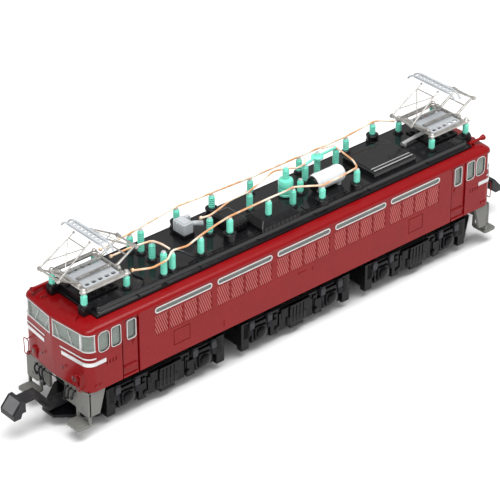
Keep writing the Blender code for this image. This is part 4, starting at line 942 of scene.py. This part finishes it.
def build_roof_equipment():
    base = DECK + 0.08
    Shape().box((-21.1, 0.7, base), (-18.5, 4.3, base + 0.9), 0.12).make("breaker_foot", "black", slot="roof_black")
    breaker = Shape()
    breaker.box((-21.0, 0.9, base + 0.8), (-18.6, 4.3, base + 3.2), 0.22, 3)
    breaker.box((-20.7, 1.2, base + 3.1), (-18.9, 3.8, base + 3.38), 0.1)
    nozzle = [(-18.9, 2.2, base + 2.3), (-17.4, 1.5, base + 2.2), (-16.3, 0.95, base + 2.0)]
    breaker.tube(smooth_path(nozzle), 0.5, 14)
    breaker.box((-18.8, 2.9, base + 2.0), (-17.6, 3.8, base + 3.4), 0.2)
    for y in (1.4, 2.2, 3.0, 3.8):
        breaker.box((-21.12, y - 0.12, base + 1.1), (-20.95, y + 0.12, base + 2.9), 0.04)
    breaker.make("breaker_casing", "plate", slot="silver_metal", replaces=["air_blast_breaker"])

    tank_z = base + 2.1
    tank = Shape().turned(
        [(0, 0.6), (0.12, 1.1), (0.4, 1.55), (0.75, 1.75), (7.25, 1.75), (7.6, 1.55), (7.88, 1.1), (8, 0.6)],
        (9.2, -1.9, tank_z), "X", 32,
    )
    for x in (10.7, 15.7):
        tank.box((x - 0.35, -3.1, base), (x + 0.35, -0.7, tank_z - 0.9), 0.08)
        tank.turned([(-0.25, 1.78), (-0.2, 1.84), (0.2, 1.84), (0.25, 1.78)], (x, -1.9, tank_z), "X", 32)
    tank.make("air_reservoir", "tank", slot="tank_white", replaces=["air_tank"])
    Shape().turned([(-0.12, 1.0), (-0.05, 1.35), (0.3, 1.62), (0.36, 1.5)], (9.2, -1.9, tank_z), "X", 24).make(
        "reservoir_end", "black", slot="roof_black"
    )

    switch = Shape()
    switch.turned([(0, 0.5), (0.1, 1.25), (0.45, 1.3), (0.6, 1.1), (0.7, 0.5)], (14.6, 2.5, base + 4.1), "Z", 24)
    switch.tube([(11.3, 2.4, base + 3.9), (14.6, 2.5, base + 4.5), (20.3, 3.2, base + 4.1)], 0.28, 10)
    switch.make("switch_arm", "mint", slot="insulator_mint")

    hood = Shape()
    rings = []
    for inset, z in ((0, 0), (0, 0.9), (0.08, 1.0), (1.0, 1.9), (1.15, 2.0)):
        outline = rounded(-8.2 + inset, 1.6 - inset, -7.0 + inset, -0.9 - inset, 0.25, 3)
        rings.append([(x, y, base + z) for x, y in outline])
    hood.hoops(rings, caps=True)
    for index in range(9):
        x = -7.6 + index * 1.05
        hood.box((x - 0.1, -7.08, base + 0.15), (x + 0.1, -6.9, base + 0.85), 0.03)
    hood.make("resistor_hood", "black", slot="roof_black", replaces=["resistor_box"])

    column = Shape().turned(
        [(0, 1.25), (0.2, 1.5), (0.6, 1.52), (0.7, 1.42), (0.95, 1.42), (1.05, 1.52), (1.7, 1.52), (1.8, 1.44),
         (2.05, 1.44), (2.15, 1.52), (3.3, 1.52), (3.6, 1.36), (3.72, 0.9), (3.8, 0.62), (3.9, 0.62), (4.1, 0.72),
         (4.5, 0.6), (4.7, 0.72), (5.1, 0.6), (5.3, 0.7), (5.7, 0.58), (5.95, 0.5), (6.0, 0.3)],
        (5.0, 1.1, base), "Z", 32,
    )
    column.make("transformer_column", "mint", slot="insulator_mint", replaces=["voltage_transformer"])


# --- pantographs -----------------------------------------------------------------------------------
def build_pantographs():
    for end, word in ENDS:
        x = end * PANTO_X
        z = PANTO_BASE_Z
        base = Shape()
        base.slab(rounded(x - 4.0, x + 4.0, -4.3, 3.0, 0.5), "Z", z + 0.2, z + 0.5, 0.05)
        cutters = Shape()
        for dx in (-3.0, -1.5, 0, 1.5, 3.0):
            for y in (-3.4, -0.7, 2.0):
                outline = rounded(x + dx - 0.5, x + dx + 0.5, y - 0.42, y + 0.42, 0.3, 4)
                cutters.slab(outline, "Z", z - 1, z + 1)
        base.make(word + "_pantograph_plate", "plate", slot="silver_metal", cutters=cutters,
                  replaces=[word + "_pantograph_base"])
        rails = Shape()
        for y in (-POST_Y, POST_Y):
            rails.box((x - 5.6, y - 0.45, z), (x + 5.6, y + 0.45, z + 0.5), 0.12)
            rails.box((x - 5.5, y - 0.12, z + 0.45), (x + 5.5, y + 0.12, z + 0.75), 0.05)
            for step in (-POST_X, POST_X):
                rails.turned([(-0.06, 0.6), (0.2, 0.6), (0.3, 0.45), (0.62, 0.42), (0.72, 0.3)],
                             (x + step, y, z + 0.3), "Z", 14)
        for side in (-1, 1):
            middle = x + side * PIVOT
            rails.box((middle - 0.4, -4.8, z + 0.02), (middle + 0.4, 4.8, z + 0.42), 0.1)
            for y in (-3.1, 3.1):
                rails.box((middle - 0.36, y - 0.3, z), (middle + 0.36, y + 0.3, PIVOT_Z + 0.42), 0.15, 3)
                rails.turned([(-0.42, 0.3), (-0.34, 0.36), (0.34, 0.36), (0.42, 0.3)], (middle, y, PIVOT_Z), "Y", 14)
        for y in (-1.5, 1.5):
            coil = [
                (x - 3.9 + 7.8 * i / 160, y + 0.26 * math.cos(i * 0.9), PIVOT_Z + 0.35 + 0.26 * math.sin(i * 0.9))
                for i in range(161)
            ]
            rails.tube(coil, 0.08, 5)
        rails.make(word + "_pantograph_frame", "bright", slot="silver_metal")

        for side, arm in ((-1, "front"), (1, "rear")):
            build_arms(word, arm, x, side)
        build_head(word, x)


def build_arms(word, arm, x, side):
    def at(dx, y, z):
        return (x + side * dx, y, z)

    lower = Shape()
    lower.turned([(-3.7, 0.14), (-3.6, 0.2), (3.6, 0.2), (3.7, 0.14)], at(PIVOT, 0, PIVOT_Z), "Y", 14)
    for y in (-2.3, 2.3):
        lower.tube([at(PIVOT, y, PIVOT_Z), at((PIVOT + KNEE) / 2, y, (PIVOT_Z + KNEE_Z) / 2), at(KNEE, y, KNEE_Z)],
                   lambda t: 0.34 - 0.12 * t, 12, flat=0.75)
        lower.turned([(-0.3, 0.36), (-0.22, 0.44), (0.22, 0.44), (0.3, 0.36)], at(PIVOT, y, PIVOT_Z), "Y", 16)
        lower.turned([(-0.22, 0.28), (-0.16, 0.36), (0.16, 0.36), (0.22, 0.28)], at(KNEE, y, KNEE_Z), "Y", 16)
    lower.turned([(-3.25, 0.12), (-3.15, 0.2), (3.15, 0.2), (3.25, 0.12)], at(KNEE, 0, KNEE_Z), "Y", 14)
    middle = (PIVOT * 0.45 + KNEE * 0.55, PIVOT_Z * 0.45 + KNEE_Z * 0.55)
    lower.tube([at(middle[0], -2.3, middle[1]), at(middle[0], 2.3, middle[1])], 0.15, 10)
    name = f"{word}_pantograph_lower_{arm}"
    lower.make(f"{word}_lower_arm_{arm}", "bright", f"{word}_panto_lower_{arm}", "silver_metal", [name])

    upper = Shape()

    def point(y, share):
        near = (KNEE, math.copysign(2.9, y), KNEE_Z)
        far = (1.2, math.copysign(2.35, y), HEAD_Z - 0.3)
        return at(*[a + (b - a) * share for a, b in zip(near, far)])

    for y in (-1, 1):
        upper.tube([point(y, 0), point(y, 0.5), point(y, 1)], lambda t: 0.19 - 0.05 * t, 10)
        upper.turned([(-0.2, 0.34), (-0.14, 0.44), (0.14, 0.44), (0.2, 0.34)], at(KNEE, y * 2.9, KNEE_Z), "Y", 16)
        upper.turned([(-0.2, 0.16), (-0.14, 0.24), (0.14, 0.24), (0.2, 0.16)], point(y, 0.99), "Y", 12)
    upper.tube([point(-1, 0.2), point(1, 0.84)], 0.11, 8)
    upper.tube([point(1, 0.2), point(-1, 0.84)], 0.11, 8)
    upper.tube([point(-1, 0.84), point(1, 0.84)], 0.13, 8)
    name = f"{word}_pantograph_upper_{arm}"
    upper.make(f"{word}_upper_arm_{arm}", "bright", f"{word}_panto_upper_{arm}", "silver_metal", [name])


def build_head(word, x):
    head = Shape()
    for dx in (-0.75, 0.75):
        half = [(0, 0.22), (3.0, 0.22), (5.0, 0.2), (5.7, 0.0), (6.3, -0.42), (6.75, -0.95)]
        whole = [(-y, z) for y, z in reversed(half)] + half[1:]
        head.tube(smooth_path([(x + dx, y, HEAD_Z + z) for y, z in whole], 3), 0.2, 10)
        head.box((x + dx - 0.26, -4.6, HEAD_Z + 0.33), (x + dx + 0.26, 4.6, HEAD_Z + 0.47), 0.05)
        for y in (-3.0, -1.0, 1.0, 3.0):
            head.turned([(0, 0.1), (0.05, 0.08)], (x + dx, y, HEAD_Z + 0.46), "Z", 8)
    for y in (-4.4, -3.3, -2.2, -1.1, 0, 1.1, 2.2, 3.3, 4.4):
        head.box((x - 0.8, y - 0.3, HEAD_Z + 0.06), (x + 0.8, y + 0.3, HEAD_Z + 0.26), 0.06)
    for dx in (-0.75, 0.75):
        head.box((x + dx - 0.32, -4.9, HEAD_Z + 0.02), (x + dx + 0.32, 4.9, HEAD_Z + 0.3), 0.06)
    for y in (-2.35, 2.35):
        head.tube([(x - 0.8, y, HEAD_Z - 0.04), (x, y, HEAD_Z + 0.14), (x + 0.8, y, HEAD_Z - 0.04)], 0.1, 8)
    head.make(word + "_collector_head", "plate", word + "_panto_head", "silver_metal", [word + "_pantograph_head"])


# --- running gear -----------------------------------------------------------------------------------
def gear_outline(teeth, first, x, z):
    pitch = 2 * math.pi / teeth
    root, tip = 0.2 * teeth - 0.34, 0.2 * teeth + 0.24
    for tooth in range(teeth):
        for radius, share in ((root, -0.27), (tip, -0.12), (tip, 0.12), (root, 0.27)):
            angle = first + (tooth + share) * pitch
            yield x + radius * math.cos(angle), z + radius * math.sin(angle)


def axle_tooth(side):
    """The angle of one tooth of a driven axle's gear, in mesh with the frame's idler."""
    idler_x = HALF_BASE - 2.2 - 2.4
    drop = math.atan2(-math.sqrt(6.0**2 - idler_x**2), idler_x)
    line = drop if side > 0 else math.pi - drop
    step = 2 * math.pi / 18
    idler_step = 2 * math.pi / 12
    idler = line + math.pi + (0.5 + ((line - math.pi / 2) % step) / step) * idler_step
    outward = 0.0 if side > 0 else math.pi
    return outward + math.pi + (0.5 + ((outward - idler) % idler_step) / idler_step) * 2 * math.pi / 11


def build_wheels():
    profile = [
        (3.7, 3.1), (3.72, 3.95), (3.82, 4.16), (3.98, 4.2), (4.14, 4.08), (4.28, 3.78), (4.45, 3.68), (5.5, 3.63),
        (5.6, 3.5), (5.6, 3.05), (5.42, 2.9), (5.25, 2.6), (5.25, 1.5), (5.42, 1.25), (5.6, 1.15), (5.6, 0.75),
    ]
    for prefix, x in BOGIES:
        for side, word in ((-1, "leading"), (1, "trailing")):
            centre = (x + side * HALF_BASE, 0, AXLE_Z)
            wheels = Shape()
            for hand in (-1, 1):
                rings = [(3.7, 0.75), (3.7, 1.3), (3.8, 1.5), (3.8, 2.7), *profile, (6.05, 0.7), (6.1, 0.4)]
                wheels.turned([(hand * along, radius) for along, radius in rings], centre, "Y", 40)
            wheels.turned([(-3.75, 0.75), (3.75, 0.75)], centre, "Y", 20)
            if x:
                wheels.slab(list(gear_outline(11, axle_tooth(side), centre[0], AXLE_Z)), "Y", -1.0, 1.0)
                wheels.turned([(-1.1, 1.2), (1.1, 1.2)], centre, "Y", 20)
            name = f"{prefix}_{word}_wheel"
            wheels.make(name + "_pair", "wheel", name + "s", "wheel_steel", [name + "set"])


def build_bogies():
    coils = bpy.context.scene.loco_running.spring_coils
    for prefix, x in BOGIES:
        gear = Shape()
        springs = Shape()
        outer = 7.4
        for end in (-1, 1):
            a = x + end * HALF_BASE
            gear.turned([(0, 1.25), (-0.5, 1.2), (-0.62, 1.0), (-0.78, 0.5)], (a, -outer - 0.55, 4.2), "Y", 24)
            gear.box((a - 1.5, -outer - 0.75, 2.7), (a + 1.5, -outer + 0.1, 5.7), 0.3, 3)
            gear.box((a - 2.4, -outer - 0.4, 5.8), (a + 2.4, -outer + 0.1, 6.6), 0.12)
            for step in (-2.3, 2.3):
                springs.box((a + step - 0.62, -outer - 0.72, 5.7), (a + step + 0.62, -outer + 0.05, 7.35), 0.12, 3)
                springs.box((a + step - 0.5, -outer - 0.62, 7.3), (a + step + 0.5, -outer + 0.05, 7.65), 0.08)
                spring = [(1.3 * i / (2 * coils), 0.36 if i % 2 else 0.46) for i in range(2 * coils + 1)]
                springs.turned(spring, (a + step, -outer - 0.3, 4.45), "Z", 14)
            b = x + end * 12.9
            gear.box((b - 0.9, -outer - 0.45, 3.9), (b + 0.9, -outer + 0.1, 7.6), 0.15)
            gear.tube(smooth_path([(b + end * 0.6, -outer - 0.1, 5.6), (b + end * 0.3, -outer - 0.2, 3.4),
                                   (a + end * 3.6, -6.3, 1.6)]), 0.16, 8)
            c = x + end * 5.2
            gear.box((c - 0.5, -outer - 0.3, 2.3), (c + 0.5, -outer + 0.1, 6.4), 0.12)
            gear.tube([(c, -outer - 0.35, 5.6), (a - end * 2.7, -outer - 0.35, 2.7)], 0.15, 8)
            gear.turned([(-0.5, 0.4), (-0.4, 0.55), (0, 0.55)], (c, -outer - 0.3, 3.2), "Y", 14)
        gear.box((x - 3.9, -outer - 0.5, 4.5), (x + 3.9, -outer + 0.1, 6.9), 0.25, 3)
        gear.box((x - 2.6, -outer - 0.75, 2.4), (x + 2.6, -outer + 0.1, 4.6), 0.35, 3)
        for step in (-1.8, -0.9, 0, 0.9, 1.8):
            gear.box((x + step - 0.14, -outer - 0.82, 2.7), (x + step + 0.14, -outer - 0.6, 6.4), 0.05)
        gear.tube([(x - 13.6, -outer - 0.12, 7.35), (x + 13.6, -outer - 0.12, 7.35)], 0.16, 8)
        gear.mirrored().make(prefix + "_bogie_detail", "frame", prefix + "_bogie", "black_plastic")
        springs.mirrored().make(prefix + "_bogie_springs", "spring", prefix + "_bogie", "black_plastic")


def build_pilots():
    face, edge_y, bar_top = -CORNER, HALF_WIDTH - 0.35, BODY_BOTTOM - 0.08
    for end, word in ENDS:
        pilot = Shape()
        pilot.box((face, -edge_y, bar_top - 0.9), (face + 0.7, edge_y, bar_top), 0.08)
        half = Shape()
        half.slab([(-2.4, 5.5), (-2.4, bar_top), (-edge_y + 0.8, bar_top),
                   (-edge_y + 0.3, bar_top - 0.2), (-edge_y, 9.2),
                   (-edge_y, 4.8), (-6.4, 4.8), (-5.4, 5.5)], "X", face - 0.1, face + 0.6, 0.06)
        half.slab([(face + 0.2, 4.8), (face + 2.6, 4.8), (face + 4.1, bar_top), (face + 0.2, bar_top)], "Y",
                  -edge_y, -edge_y + 0.7, 0.06)
        half.box((face + 0.05, -edge_y, 2.9), (face + 0.6, -edge_y + 0.5, 5.2), 0.08)
        half.box((face + 0.05, -edge_y + 3.5, 2.9), (face + 0.6, -edge_y + 4.0, 5.2), 0.08)
        half.slab(rounded(face - 2.6, face + 0.7, -edge_y, -edge_y + 4.0, 0.6), "Z", 2.7, 3.2, 0.08)
        half.slab(rounded(face - 2.3, face + 0.3, -edge_y + 0.4, -edge_y + 3.6, 0.4), "Z", 3.15, 3.32, 0.05)
        half.turned([(0, 0.28), (-0.2, 0.24), (-0.24, 0.1)], (face - 0.1, -7.6, 6.2), "X", 12)
        half.mirrored()
        pilot.take(half.mesh)
        pilot.turned_end(end).make(word + "_pilot_steps", "grey", slot="pilot_grey", replaces=[word + "_pilot"])

        hoses = Shape()
        for y, drop in ((3.6, 2.9), (4.6, 2.2), (5.9, 1.6)):
            hoses.tube(smooth_path([(face - 0.1, -y, 9.2), (face - 0.7, -y, 9.0), (face - 0.9, -y + 0.1, 8.2),
                                    (face - 0.8, -y + 0.5, 9.2 - drop)]), 0.19, 8)
            hoses.turned([(0, 0.3), (0.3, 0.32), (0.5, 0.22)], (face - 0.8, -y + 0.5, 9.0 - drop), "Z", 10)
        hoses.tube(smooth_path([(face - 0.5, 1.2, 9.6), (face - 0.7, -2.8, 9.4), (face - 0.6, -6.0, 9.5)]), 0.1, 6)
        hoses.mirrored().turned_end(end).make(word + "_brake_hoses", "black", slot="black_plastic")


def build_couplers():
    for end, word in ENDS:
        pivot, z, tip = -48.5, AXLE_Z, -64.2
        arm = Shape()
        arm.slab(
            [(pivot, z - 0.95), (-55.6, z - 0.95), (-58.6, z + 3.1), (-62.1, z + 3.1), (-62.1, z + 4.35),
             (-57.6, z + 4.35), (-54.6, z + 0.35), (pivot, z + 0.35)], "Y", -1.05, 1.05, 0.1,
        )
        arm.slab([(-56.2, z + 0.2), (-57.4, z + 1.9), (-57.4, z + 2.1), (-55.8, z + 0.2)], "Y", -1.7, 1.7, 0.08)
        arm.slab(
            [(-61.4, z + 4.55), (-62.3, z + 4.55), (tip, z + 2.4), (tip, z + 1.2), (-62.6, z + 1.2),
             (-62.2, z + 2.2), (-61.4, z + 2.2)], "Y", -2.15, 2.15, 0.12,
        )
        arm.turned([(-1.4, 0.8), (-1.3, 0.88), (1.3, 0.88), (1.4, 0.8)], (pivot, 0, z - 0.15), "Y", 20)
        arm.turned_end(end)
        arm.make(word + "_coupler_hook", "coupler", word + "_coupler_arm", "coupler_grey", [word + "_coupler"])
        # A thin lighter slab on the head's upward sloping face: a painted highlight.
        worn = Shape().slab(
            [(-62.34, z + 4.53), (tip, z + 2.46), (tip + 0.06, z + 2.36), (-62.3, z + 4.43)], "Y", -1.6, 1.6,
        )
        worn.turned_end(end)
        worn.make(word + "_coupler_face_highlight", "worn", word + "_coupler_arm", "coupler_grey")


FRAME_FINISHES = {
    "interior": ("front_cab", "rear_cab"),
    "cast": ("left_chassis", "right_chassis"),
    "board": ("circuit_board",),
    "motor": ("motor_case",),
    "winding": ("motor_armature",),
    "brass": ("front_flywheel", "rear_flywheel", "front_worm", "rear_worm"),
    "frame": ("front_bogie_frame", "middle_bogie_frame", "rear_bogie_frame"),
    "nylon": (
        "front_worm_wheel", "rear_worm_wheel", "front_leading_idler", "front_trailing_idler",
        "rear_leading_idler", "rear_trailing_idler",
    ),
}


def finish_frame():
    """Gives the frame nodes that stay in view their finishes."""
    for finish, nodes in FRAME_FINISHES.items():
        for name in nodes:
            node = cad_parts[name]
            node.data.materials.clear()
            node.data.materials.append(FINISHES[finish])


def build_stage():
    settings = bpy.context.scene.loco_stage
    floor_finish = Finish("studio_floor", tuple(settings.floor), 0.7)
    grain = floor_finish.noise(30.0, 2)
    floor_finish.set("Base Color", floor_finish.mix(grain, shade(tuple(settings.floor), 0.99), tuple(settings.floor)))
    sheet = bmesh.new()
    bmesh.ops.create_grid(sheet, x_segments=8, y_segments=8, size=3.0)
    floor = as_object("studio_floor", sheet)
    floor.location.z = -0.0002
    floor.data.materials.append(floor_finish.material)

    world = bpy.data.worlds.new("pale_surround")
    world.use_nodes = True
    background = world.node_tree.nodes["Background"]
    background.inputs["Color"].default_value = (1.0, 1.0, 1.0, 1.0)
    background.inputs["Strength"].default_value = settings.surround
    bpy.context.scene.world = world

    for name, watts, extent, spot, aim in (
        ("overhead_softbox", settings.key, (0.5, 0.22), (-0.02, -0.1, 0.42), (0, 0, 0.02)),
        ("front_fill", settings.fill, (0.3, 0.3), (-0.4, -0.2, 0.22), (-0.03, 0, 0.02)),
    ):
        light = bpy.data.lights.new(name, "AREA")
        light.shape = "RECTANGLE"
        light.size, light.size_y = extent
        light.energy = watts
        lamp = linked(name, light)
        lamp.location = spot
        lamp.rotation_euler = (Vector(aim) - Vector(spot)).to_track_quat("-Z", "Y").to_euler()

    level = math.cos(CAMERA_ELEVATION)
    back = Vector((math.sin(CAMERA_AZIMUTH) * level, -math.cos(CAMERA_AZIMUTH) * level, math.sin(CAMERA_ELEVATION)))
    lens = bpy.data.cameras.new("view")
    lens.sensor_width = 36
    lens.lens = CAMERA_LENS
    lens.clip_start = 0.01
    camera = linked("view", lens)
    camera.location = (Vector(CAMERA_TARGET) + back * CAMERA_DISTANCE) * MM
    camera.rotation_euler = (-back).to_track_quat("-Z", "Y").to_euler()
    bpy.context.scene.camera = camera
    bpy.context.scene.view_settings.view_transform = "Standard"


# --- operators ---------------------------------------------------------------------------------------
class LOCO_OT_finishes(bpy.types.Operator):
    """Make the finishes and put them on the frame nodes that stay in view"""

    bl_idname = "loco.finishes"
    bl_label = "Finishes"

    def execute(self, context):
        make_finishes()
        finish_frame()
        return {"FINISHED"}


class LOCO_OT_shell(bpy.types.Operator):
    """Build the painted shell and its louvres"""

    bl_idname = "loco.shell"
    bl_label = "Shell"

    def execute(self, context):
        build_shell()
        return {"FINISHED"}


class LOCO_OT_cab_fittings(bpy.types.Operator):
    """Build the handrails, lamps, brackets and whistles of both cabs"""

    bl_idname = "loco.cab_fittings"
    bl_label = "Cab fittings"

    def execute(self, context):
        build_cab_fittings()
        return {"FINISHED"}


class LOCO_OT_trim(bpy.types.Operator):
    """Build the silver window frames and bands"""

    bl_idname = "loco.trim"
    bl_label = "Silver trim"

    def execute(self, context):
        build_trim()
        return {"FINISHED"}


class LOCO_OT_glazing(bpy.types.Operator):
    """Build the windows and wipers"""

    bl_idname = "loco.glazing"
    bl_label = "Glazing"

    def execute(self, context):
        build_glazing()
        return {"FINISHED"}


class LOCO_OT_roof(bpy.types.Operator):
    """Build the roof deck and what is fixed to it"""

    bl_idname = "loco.roof"
    bl_label = "Roof"

    def execute(self, context):
        build_roof()
        return {"FINISHED"}


class LOCO_OT_insulators(bpy.types.Operator):
    """Build the three rows of insulators"""

    bl_idname = "loco.insulators"
    bl_label = "Insulators"

    def execute(self, context):
        build_insulators()
        return {"FINISHED"}


class LOCO_OT_wires(bpy.types.Operator):
    """Build the roof wires"""

    bl_idname = "loco.wires"
    bl_label = "Roof wires"

    def execute(self, context):
        build_wires()
        return {"FINISHED"}


class LOCO_OT_roof_equipment(bpy.types.Operator):
    """Build the breaker, air tank, resistor hood and transformer"""

    bl_idname = "loco.roof_equipment"
    bl_label = "Roof equipment"

    def execute(self, context):
        build_roof_equipment()
        return {"FINISHED"}


class LOCO_OT_pantographs(bpy.types.Operator):
    """Build both pantographs"""

    bl_idname = "loco.pantographs"
    bl_label = "Pantographs"

    def execute(self, context):
        build_pantographs()
        return {"FINISHED"}


class LOCO_OT_wheels(bpy.types.Operator):
    """Build the six wheelsets"""

    bl_idname = "loco.wheels"
    bl_label = "Wheels"

    def execute(self, context):
        build_wheels()
        return {"FINISHED"}


class LOCO_OT_bogies(bpy.types.Operator):
    """Build the axleboxes, springs and brake gear of the bogies"""

    bl_idname = "loco.bogies"
    bl_label = "Bogie details"

    def execute(self, context):
        build_bogies()
        return {"FINISHED"}


class LOCO_OT_pilots(bpy.types.Operator):
    """Build the pilots, steps and brake hoses"""

    bl_idname = "loco.pilots"
    bl_label = "Pilots"

    def execute(self, context):
        build_pilots()
        return {"FINISHED"}


class LOCO_OT_couplers(bpy.types.Operator):
    """Build both couplers"""

    bl_idname = "loco.couplers"
    bl_label = "Couplers"

    def execute(self, context):
        build_couplers()
        return {"FINISHED"}


class LOCO_OT_stage(bpy.types.Operator):
    """Set up the floor, lights and camera"""

    bl_idname = "loco.stage"
    bl_label = "Stage"

    def execute(self, context):
        build_stage()
        return {"FINISHED"}


SETTINGS = {
    "loco_body": BodySettings, "loco_roof": RoofSettings,
    "loco_running": RunningSettings, "loco_stage": StageSettings,
}
OPERATORS = (
    LOCO_OT_finishes, LOCO_OT_shell, LOCO_OT_cab_fittings, LOCO_OT_trim, LOCO_OT_glazing, LOCO_OT_roof,
    LOCO_OT_insulators, LOCO_OT_wires, LOCO_OT_roof_equipment, LOCO_OT_pantographs, LOCO_OT_wheels, LOCO_OT_bogies,
    LOCO_OT_pilots, LOCO_OT_couplers, LOCO_OT_stage,
)


class LOCO_PT_panel(bpy.types.Panel):
    """Sizes, colours and steps of the locomotive"""

    bl_idname = "LOCO_PT_panel"
    bl_label = "Locomotive"
    bl_space_type = "VIEW_3D"
    bl_region_type = "UI"
    bl_category = "Locomotive"

    def draw(self, context):
        for name, group in SETTINGS.items():
            box = self.layout.box()
            for key in group.__annotations__:
                box.prop(getattr(context.scene, name), key)
        for operator in OPERATORS:
            self.layout.operator(operator.bl_idname)


def register():
    for group in SETTINGS.values():
        bpy.utils.register_class(group)
    for operator in (*OPERATORS, LOCO_PT_panel):
        bpy.utils.register_class(operator)
    for name, group in SETTINGS.items():
        setattr(bpy.types.Scene, name, PointerProperty(type=group))


def unregister():
    for name in SETTINGS:
        delattr(bpy.types.Scene, name)
    for made in (LOCO_PT_panel, *reversed(OPERATORS), *SETTINGS.values()):
        bpy.utils.unregister_class(made)


def main():
    register()
    for operator in OPERATORS:
        group, name = operator.bl_idname.split(".")
        getattr(getattr(bpy.ops, group), name)()


if __name__ == "__main__":
    main()
